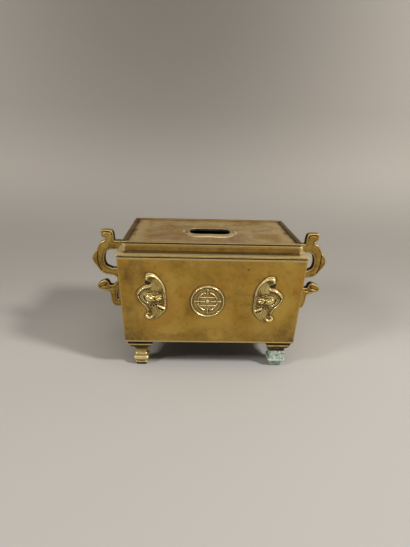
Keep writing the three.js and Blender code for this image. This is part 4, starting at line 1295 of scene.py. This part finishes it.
feet = {
    "places": {"front_left": (-1, -1), "front_right": (1, -1), "back_left": (-1, 1), "back_right": (1, 1)},
    "halfPad": 10.4,
    "edge": 1.6,
    "round": 0.24,
    "profile": [
        (4.2, 0), (4.4, 0.3), (4.5, 1.9), (4.9, 2.4), (5.3, 2.7), (5.35, 3.2), (4.9, 3.7), (4.7, 4.1),
        (4.75, 4.6), (5.5, 5.0), (6.1, 5.7), (6.4, 6.7), (6.3, 7.7), (5.8, 8.5), (4.95, 8.95), (4.8, 9.3),
        (4.85, 9.8), (5.15, 10.2), (5.3, 10.7), (5.15, 11.2), (4.85, 11.7), (4.75, 13.2), (4.85, 15.2),
    ],
    "topDown": [
        (5.3, 9.2), (6.0, 8.1), (7.0, 7.0), (8.2, 6.2), (8.5, 5.8), (8.5, 5.3), (9.1, 4.9), (9.5, 4.5),
        (9.6, 3.9), (10.1, 3.5), (10.3, 3.1), (10.3, 2.7), (10.1, 2.4), (10.35, 2.2), (10.4, 1.2), (10.35, 0),
    ],
    "crust": [
        (4.2, 0), (4.5, 0.4), (4.6, 1.7), (5.2, 2.3), (5.3, 3.0), (5.0, 3.7), (5.6, 4.4), (6.6, 5.1),
        (7.1, 6.2), (7.1, 7.4), (6.7, 8.4), (6.1, 9.2), (6.0, 10.0), (6.3, 11.0), (6.6, 12.2), (6.7, 13.6),
        (6.6, 15.2),
    ],
    "crustTopDown": [
        (6.6, 9.2), (6.9, 8.2), (7.4, 7.2), (8.2, 6.3), (8.6, 5.8), (8.5, 5.3), (9.1, 4.9), (9.5, 4.5),
        (9.6, 3.9), (10.1, 3.5), (10.3, 3.1), (10.3, 2.7), (10.1, 2.4), (10.35, 2.2), (10.4, 1.2), (10.35, 0),
    ],
    # Painted light and shade by height: the base, the groove under the bulge, the downward-facing cove and the pad's
    # top under the body are painted dark as shade, and the bulge, the ridge and the pad's lower lip are painted
    # lighter as lit.
    "tones": {
        "soot": [(0, 0.2), (1.2, 0.05), (2, 0), (22.9, 0), (23.4, 0.45), (25.6, 0.6)],
        "cavity": [(0, 0.8), (1.4, 0.5), (2.2, 0), (3.6, 0.1), (4.1, 0.9), (4.6, 0.8), (5.4, 0), (8.4, 0),
                   (9.1, 0.25), (9.6, 0.2), (10.2, 0), (11.4, 0), (13.5, 0.12), (16.5, 0.42), (19, 0.6),
                   (20.3, 0.75), (20.9, 0.7), (21.6, 0.1), (22.8, 0), (23.4, 1), (25.6, 1)],
        "wear": [(2.2, 0), (2.8, 0.3), (3.4, 0.2), (4.1, -0.6), (4.8, -0.3), (5.6, 0.9), (7.8, 0.85), (8.6, 0.5),
                 (9.1, 0.1), (9.8, 0.3), (10.3, 0.8), (11.1, 0.7), (11.8, 0.2), (14, -0.1), (19, -0.6),
                 (20.9, -0.5), (21.7, 0.3), (22.4, 0.35), (23, -0.8), (25.6, -1)],
    },
    "crustRough": 0.34,
}


def buildFoot(name, signs, sizes):
    crusted = name == "front_right"
    inset = wallInset(burner["footHeight"]) + sizes["edge"] + sizes["halfPad"]
    place = np.array([signs[0] * (halfLength - inset), signs[1] * (halfDepth - inset)])
    top = burner["footHeight"]
    low, high = (sizes[key] for key in (("crust", "crustTopDown") if crusted else ("profile", "topDown")))
    profile = throughPoints([*low, *[(half, top - drop) for half, drop in high]], steps=3)
    seed = 31 + len(name)
    rows = [np.column_stack([rectLoop(profile[0][0] * share, profile[0][0] * share, 0.3, 8, 12, 12),
                             np.zeros(4 * 20)]) for share in (0.4, 0.8)]
    for half, z in profile:
        loop = rectLoop(half, half, half * sizes["round"] * (1.2 if top - z > 6 else 0.45), 8, 12, 12)
        rows.append(np.column_stack([loop, np.full(len(loop), z)]))
    rows += [np.column_stack([rectLoop(10.3 * share, 10.3 * share, 0.3, 8, 12, 12),
                              np.full(4 * 20, top)]) for share in (0.8, 0.4)]
    points = np.concatenate(rows)
    spread = np.hypot(points[:, 0], points[:, 1])[:, None]
    outward = np.column_stack([points[:, :2] / spread, np.zeros(len(points))])
    coordinates = (points[:, 0], points[:, 1], points[:, 2])
    drop = top - points[:, 2]
    moving = smoothStep(0, 1.5, points[:, 2]) * smoothStep(3.5, 6, drop)
    if crusted:
        lumps = ripple(seed, (7, 5, 3.6, 2.7, 2), *coordinates) + 0.6 * ripple(seed + 9, (1.5, 1.1, 0.9), *coordinates)
        points = points + outward * (sizes["crustRough"] * lumps * moving)[:, None]
    else:
        worn = ripple(seed, (11, 7, 4.5), *coordinates)
        points = points + outward * (0.09 * worn * moving)[:, None]
    points[:, :2] += place
    count = len(rows[0])
    faces = ringFaces(len(rows), count, False, True)
    faces.append(list(range(count))[::-1])
    faces.append(list(range(count * (len(rows) - 1), count * len(rows))))
    tones = {label: np.interp(points[:, 2], *zip(*table)) for label, table in sizes["tones"].items()}
    tones["bare"] = smoothStep(10, 8.4, drop)
    if crusted:
        neck = 0.95 * smoothStep(7, 8.2, drop) * smoothStep(10.8, 9.8, drop)
        crease = 0.6 * smoothStep(0.8, 0.3, np.abs(points[:, 2] - 8.4))
        tones["cavity"] = np.maximum(tones["cavity"], np.maximum(neck, crease))
    addPiece("foot." + name, points, faces, "verdigris" if crusted else "footBrass", "burner",
             ["foot_" + name], rounds=4, reach=0.3, extra=tones)


for footName, footSigns in feet["places"].items():
    buildFoot(footName, footSigns, feet)
print("feet built")


# Handles: flat scroll castings, drawn as x out from the rim's side and z up from the top of the walls

handles = {
    "half": 3.5,
    "step": 0.32,
    "edgeRound": 0.75,
    "top": 1.5,
    "foot": -60,
    "hookFoot": 8.4,
    "hook": [(8.7, 6.3), (9.6, 9.2), (11.5, 10.8), (18.1, 10.9), (19.6, 10.2), (19.7, 8)],
    "hookEnd": [(19.5, 5.6), (18.2, 4.2), (16.7, 3.6), (16.5, 2.6), (17.4, 1.5)],
    "loop": [(19.8, 0.3), (21.5, -1.6), (23.1, -4.6), (23.9, -7.1)],
    "bump": [(26.2, -9.6), (27.8, -12.5), (28.2, -15.3), (27.1, -18.3), (24.9, -21.4)],
    "loopFoot": [(23, -24.3), (20.8, -27), (17.1, -29), (11.8, -29.8)],
    "neck": [(9.3, -30.5), (7.5, -32.3), (7.3, -34.6), (8.9, -37.8), (11.5, -39.8)],
    "curlInside": [(13.9, -39.4), (14.8, -37.2), (16.4, -35.4)],
    "curl": [(18.6, -35.1), (21.7, -36.4), (23.9, -37.9), (25.4, -40)],
    "curlUnder": [(24.7, -42.4), (22.3, -43.5), (18.5, -44.8), (14.6, -46.3)],
    "block": [(14.1, -48.8), (13.7, -52.7), (12.6, -56.7), (10.7, -59.2), (7.4, -59.9)],
    "eye": [(9.9, -6.2), (12.6, -6.4), (15.2, -7.7), (16.8, -10.4), (17.6, -14.2), (17.4, -17.8),
            (15.8, -21.2), (11, -23.5)],
    "eyeTop": -6.2,
    "eyeFoot": -23.5,
    "slot": {"place": (7.1, -49.6), "half": (0.7, 3.4)},
    "grooveInset": 1.75,
    "grooveWidth": 0.33,
    "grooveDepth": 0.32,
}


def handleOutline(sizes):
    def atWall(z):
        return (-wallInset(burner["wallTop"] + z) - 0.1, z)

    return outlineFrom([
        ("line", [(0.1, sizes["top"]), (sizes["hookFoot"], sizes["top"])]),
        ("curve", sizes["hook"]), ("curve", sizes["hookEnd"]), ("curve", sizes["loop"]),
        ("curve", sizes["bump"]), ("curve", sizes["loopFoot"]), ("curve", sizes["neck"]),
        ("curve", sizes["curlInside"]), ("curve", sizes["curl"]), ("curve", sizes["curlUnder"]),
        ("curve", sizes["block"]),
        ("line", [atWall(sizes["foot"]), atWall(sizes["eyeFoot"]), (11, sizes["eyeFoot"])]),
        ("curve", sizes["eye"][::-1][1:]),
        ("line", [atWall(sizes["eyeTop"]), atWall(0), (0.1, 0)]),
    ])


def makeHandle(sizes):
    outline = handleOutline(sizes)
    slot = sizes["slot"]

    def signed(u, v):
        body = signedDistance(u, v, outline)
        du = np.abs(u - slot["place"][0]) - slot["half"][0]
        dv = np.abs(v - slot["place"][1]) - slot["half"][1]
        hole = np.hypot(np.maximum(du, 0), np.maximum(dv, 0)) + np.minimum(np.maximum(du, dv), 0)
        return np.minimum(body, hole)

    seams = [
        throughPoints([(23.7, -7.2), (23.4, -10.5), (23.4, -15), (22.9, -19.5), (21.8, -23), (20, -26.4)]),
        throughPoints([(10.4, 6), (11, 8.2), (13, 9.2), (16.4, 9.2), (18, 8)]),
        throughPoints([(16.6, -37.4), (17.8, -39.8), (20.6, -40.8), (23, -41.2)]),
        throughPoints([(12, -41.8), (15, -42.8), (19, -42.6)]),
    ]

    def height(u, v, inward):
        edge = sizes["edgeRound"]
        turn = np.clip(inward / edge, 0, 1)
        h = sizes["half"] - edge * (1 - np.sqrt(1 - (1 - turn) ** 2))
        line = sizes["grooveDepth"] * np.exp(-((inward - sizes["grooveInset"]) / sizes["grooveWidth"]) ** 2)
        h = h - line * smoothStep(3.5, 6.5, u)
        for path in seams:
            h = h - grooveAt(u, v, path, 0.5, 0.7)
        h = h + 0.07 * ripple(3, (13, 8, 5.5), u, v)
        h = np.minimum(h, sizes["half"])
        return h, -h

    low, high = outline.min(0) - 0.5, outline.max(0) + 0.5
    return reliefMesh(signed, height, low, high, sizes["step"])


def turnedInwards(points, outline):
    u, v = points[:, 0], points[:, 1]
    here = signedDistance(u, v, outline)
    acrossTurn = (signedDistance(u + 0.05, v, outline) - here) / 0.05
    upTurn = (signedDistance(u, v + 0.05, outline) - here) / 0.05
    return smoothStep(0.1, 0.9, acrossTurn - 0.35 * upTurn) * smoothStep(10.5, 8.5, v)


handlePoints, handleFaces = makeHandle(handles)
handleShade = turnedInwards(handlePoints, handleOutline(handles))
for handleName, handleSide in (("handle_left", -1), ("handle_right", 1)):
    placed = np.column_stack([handleSide * (halfLength + handlePoints[:, 0]), -handlePoints[:, 2],
                              burner["wallTop"] + handlePoints[:, 1]])
    # Painted shade with grime: side faces turned towards the body are painted dark and a little sooty, every side face
    # is darker and unrubbed, and the scroll is darker where it meets the wall.
    side = smoothStep(handles["half"] - 0.25, handles["half"] - 0.7, np.abs(handlePoints[:, 2]))
    shaded = side * (0.22 + 0.6 * handleShade)
    hollow = np.maximum(0.3 * smoothStep(5, 1.5, handlePoints[:, 0]), shaded)
    addPiece(handleName.replace("_", ".") + ".scroll", placed, handleFaces, "handleBrass", "burner",
             [handleName], sharp=50, rounds=7, reach=0.3,
             extra={"cavity": hollow, "wear": -side, "soot": 0.2 * side * handleShade})
print("handles built: %d faces each" % len(handleFaces))


# Ornaments on the front and back walls

batPoints, batFaces = makeBat()
roundelPoints, roundelFaces = makeRoundel()
for wallSide in ("front", "back"):
    for kind, ornamentPlace in ornamentPlaces.items():
        points, faces = (roundelPoints, roundelFaces) if kind == "roundel" else (batPoints, batFaces)
        facing = -1 if kind == "bat_right" else 1
        levels = (2.3, 0.8, 2.5, 3.2) if kind != "roundel" else (1.35, 0.85, 1.6, 2.0)
        low = smoothStep(levels[0], levels[1], points[:, 2])
        tones = {"cavity": low * (0.75 if kind != "roundel" else 0.4),
                 "wear": 0.6 * smoothStep(levels[2], levels[3], points[:, 2])}
        addPiece(wallSide + "." + kind.replace("_", "."), onWall(points * (facing, 1, 1), wallSide, ornamentPlace),
                 faces, "ornamentBrass", "burner", [wallSide + "_" + kind], sharp=60, rounds=8, reach=0.3,
                 extra=tones)
print("ornaments built: bat %d faces, roundel %d faces" % (len(batFaces), len(roundelFaces)))


# Rivets and pins, one tree that sets a headed rivet on every point

def makeRivetTree():
    tree, given, result = newGroup("rivetsOnPoints", "GeometryNodeTree", [
        ("Geometry", "NodeSocketGeometry", None),
        ("Head Radius", floatSocket, 0.003),
        ("Head Height", floatSocket, 0.001),
        ("Shank Radius", floatSocket, 0.0015),
        ("Shank Length", floatSocket, 0.008),
        ("Material", "NodeSocketMaterial", None),
    ], [("Geometry", "NodeSocketGeometry")])
    ball = makeNode(tree, "GeometryNodeMeshUVSphere", {"Segments": 24, "Rings": 12, "Radius": 1})
    size = makeNode(tree, "ShaderNodeCombineXYZ", {0: given["Head Radius"], 1: given["Head Radius"],
                                                   2: given["Head Height"]})
    head = makeNode(tree, "GeometryNodeTransform", {"Geometry": ball.outputs[0], "Scale": size.outputs[0]})
    bar = makeNode(tree, "GeometryNodeMeshCylinder", {"Vertices": 24, "Radius": given["Shank Radius"],
                                                      "Depth": given["Shank Length"]})
    halfway = makeNode(tree, "ShaderNodeMath", {0: given["Shank Length"], 1: 0.5}, operation="MULTIPLY")
    lift = makeNode(tree, "ShaderNodeCombineXYZ", {2: halfway.outputs[0]})
    shank = makeNode(tree, "GeometryNodeTransform", {"Geometry": bar.outputs[0],
                                                     "Translation": lift.outputs[0]})
    whole = makeNode(tree, "GeometryNodeJoinGeometry")
    tree.links.new(head.outputs[0], whole.inputs[0])
    tree.links.new(shank.outputs[0], whole.inputs[0])
    axis = makeNode(tree, "GeometryNodeInputNamedAttribute", {"Name": "axis"}, data_type="FLOAT_VECTOR")
    turn = makeNode(tree, "FunctionNodeAlignEulerToVector", {"Vector": axis.outputs[0]}, axis="Z")
    spread = makeNode(tree, "GeometryNodeInstanceOnPoints", {"Points": given["Geometry"],
                                                             "Instance": whole.outputs[0],
                                                             "Rotation": turn.outputs[0]})
    real = makeNode(tree, "GeometryNodeRealizeInstances", {"Geometry": spread.outputs[0]})
    coated = makeNode(tree, "GeometryNodeSetMaterial", {"Geometry": real.outputs[0],
                                                        "Material": given["Material"]})
    tree.links.new(coated.outputs[0], result["Geometry"])
    return tree


rivets = {
    "ornamentRivets": {"headRadius": 2.2, "headHeight": 0.9, "shankRadius": 1.1, "length": 3.1},
    "handlePins": {"headRadius": 3, "headHeight": 1.2, "shankRadius": 1.5, "length": 8.6},
    "footRivets": {"headRadius": 4, "headHeight": 1.2, "shankRadius": 2, "length": 9.6},
}
rivetTree = makeRivetTree()


def addRivets(name, sizes, axes):
    places, directions = [], []
    for node, axis in axes.items():
        low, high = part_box(node)
        axis = Vector(axis).normalized()
        middle = (low + high) / 2
        start = middle - axis * 0.001 * (sizes["length"] - sizes["headHeight"]) / 2
        places.append(start)
        directions.append(axis)
    mesh = bpy.data.meshes.new(name)
    mesh.from_pydata(places, [], [])
    directed = mesh.attributes.new("axis", "FLOAT_VECTOR", "POINT")
    directed.data.foreach_set("vector", np.array(directions, float).ravel())
    made = meshFromTree(mesh, rivetTree, {
        "Head Radius": sizes["headRadius"] * 0.001, "Head Height": sizes["headHeight"] * 0.001,
        "Shank Radius": sizes["shankRadius"] * 0.001, "Shank Length": sizes["length"] * 0.001,
        "Material": materials["rivetBrass"],
    })
    made.name = name
    finishPiece(name, made, "rivetBrass", "burner", list(axes), rounds=3, reach=0.3,
                extra={"soot": np.full(len(made.vertices), 0.3)})


outFront = (0, -math.cos(leanAngle), -math.sin(leanAngle))
outBack = (0, math.cos(leanAngle), -math.sin(leanAngle))
nodeNames = sorted(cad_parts)
addRivets("ornamentRivets", rivets["ornamentRivets"], {
    node: outFront if node.startswith("front") else outBack
    for node in nodeNames if "_rivet_" in node})
addRivets("handlePins", rivets["handlePins"], {
    node: (1, 0, 0) if "right" in node else (-1, 0, 0) for node in nodeNames if "_pin_" in node})
addRivets("footRivets", rivets["footRivets"], {
    node: (0, 0, -1) for node in nodeNames if node.startswith("foot") and node.endswith("_rivet")})
print("rivets and pins built")


# Stage and light

# The backdrop's colour carries painted light and shade: the floor fades from the lit near colour to a darker one going
# back, the cove is darker low down, and a painted shadow darkens it round dimPlace behind the object.
stage = {
    "front": -1.6, "coveStart": 0.05, "coveRadius": 0.22, "height": 1.6, "side": 1.6,
    "near": colour(191, 187, 181), "behind": colour(154, 149, 141), "fade": (-0.04, 0.2),
    "dim": colour(127, 121, 113), "bright": colour(182, 175, 166), "dimPlace": (-0.04, 0.27, 0.42),
    "dimReach": (0.04, 0.45), "rising": (0.05, 0.15),
}


def makeStage(sizes):
    start, radius = sizes["coveStart"], sizes["coveRadius"]
    profile = [(sizes["front"], 0), (-0.3, 0), (-0.1, 0)]
    for step in range(25):
        angle = math.pi / 2 * step / 24
        profile.append((start + radius * math.sin(angle), radius * (1 - math.cos(angle))))
    profile.append((start + radius, sizes["height"]))
    points = [(x, y, z) for y, z in profile for x in (-sizes["side"], sizes["side"])]
    faces = [(2 * k, 2 * k + 1, 2 * k + 3, 2 * k + 2) for k in range(len(profile) - 1)]
    mesh = bpy.data.meshes.new("backdrop")
    mesh.from_pydata(points, [], faces)
    mesh.shade_smooth()
    material, tree, shader = newMaterial("backdropWithPaintedShade")
    place = makeNode(tree, "ShaderNodeTexCoord").outputs["Object"]
    depth = makeNode(tree, "ShaderNodeSeparateXYZ", {0: place}).outputs[1]
    away = makeNode(tree, "ShaderNodeVectorMath", {0: place, 1: sizes["dimPlace"]}, operation="DISTANCE")
    dim = smoothRange(tree, away.outputs["Value"], *sizes["dimReach"])
    upper = mixColour(tree, dim, sizes["dim"], sizes["bright"])
    rising = smoothRange(tree, makeNode(tree, "ShaderNodeSeparateXYZ", {0: place}).outputs[2], *sizes["rising"])
    upper = mixColour(tree, rising, sizes["behind"], upper)
    tone = mixColour(tree, smoothRange(tree, depth, *sizes["fade"]), sizes["near"], upper)
    tree.links.new(tone, shader.inputs["Base Color"])
    shader.inputs["Roughness"].default_value = 0.9
    grain = noiseNode(tree, objectPoint(tree), 60, 4, 0.6, 0)
    bump = makeNode(tree, "ShaderNodeBump", {"Strength": 0.2, "Distance": 0.0005, "Height": grain})
    tree.links.new(bump.outputs[0], shader.inputs["Normal"])
    mesh.materials.append(material)
    backdrop = bpy.data.objects.new("backdrop", mesh)
    scene.collection.objects.link(backdrop)


lights = {
    "key": {"place": (0.883, -0.558, 0.931), "size": 0.2, "watts": 12.5, "colour": (1, 0.985, 0.965)},
    "second": {"place": (-0.978, -0.711, 0.888), "size": 0.3, "watts": 6.4, "colour": (1, 0.985, 0.965)},
    "top": {"place": (0.05, -0.35, 1.4), "size": 1.2, "watts": 5, "colour": (1, 0.99, 0.97)},
}


def makeLights(setups):
    for name, setup in setups.items():
        data = bpy.data.lights.new(name, "AREA")
        data.shape = "DISK"
        data.size = setup["size"]
        data.energy = setup["watts"]
        data.color = setup["colour"]
        lamp = bpy.data.objects.new(name, data)
        lamp.location = setup["place"]
        aim = Vector((0, 0, 0.05)) - Vector(setup["place"])
        lamp.rotation_euler = aim.to_track_quat("-Z", "Y").to_euler()
        scene.collection.objects.link(lamp)


def makeWorld(tone, given, seen):
    world = bpy.data.worlds.new("studio")
    world.use_nodes = True
    tree = world.node_tree
    background = tree.nodes["Background"]
    background.inputs["Color"].default_value = tone
    ray = makeNode(tree, "ShaderNodeLightPath").outputs
    shown = mathNode(tree, "MAXIMUM", ray["Is Camera Ray"], ray["Is Glossy Ray"])
    strength = mathNode(tree, "MULTIPLY_ADD", shown, seen - given, given)
    tree.links.new(strength, background.inputs["Strength"])
    scene.world = world


makeStage(stage)
makeLights(lights)
makeWorld((0.9, 0.89, 0.87, 1), given=0.04, seen=0.36)
scene.view_settings.view_transform = "Standard"
print("stage and lights set")
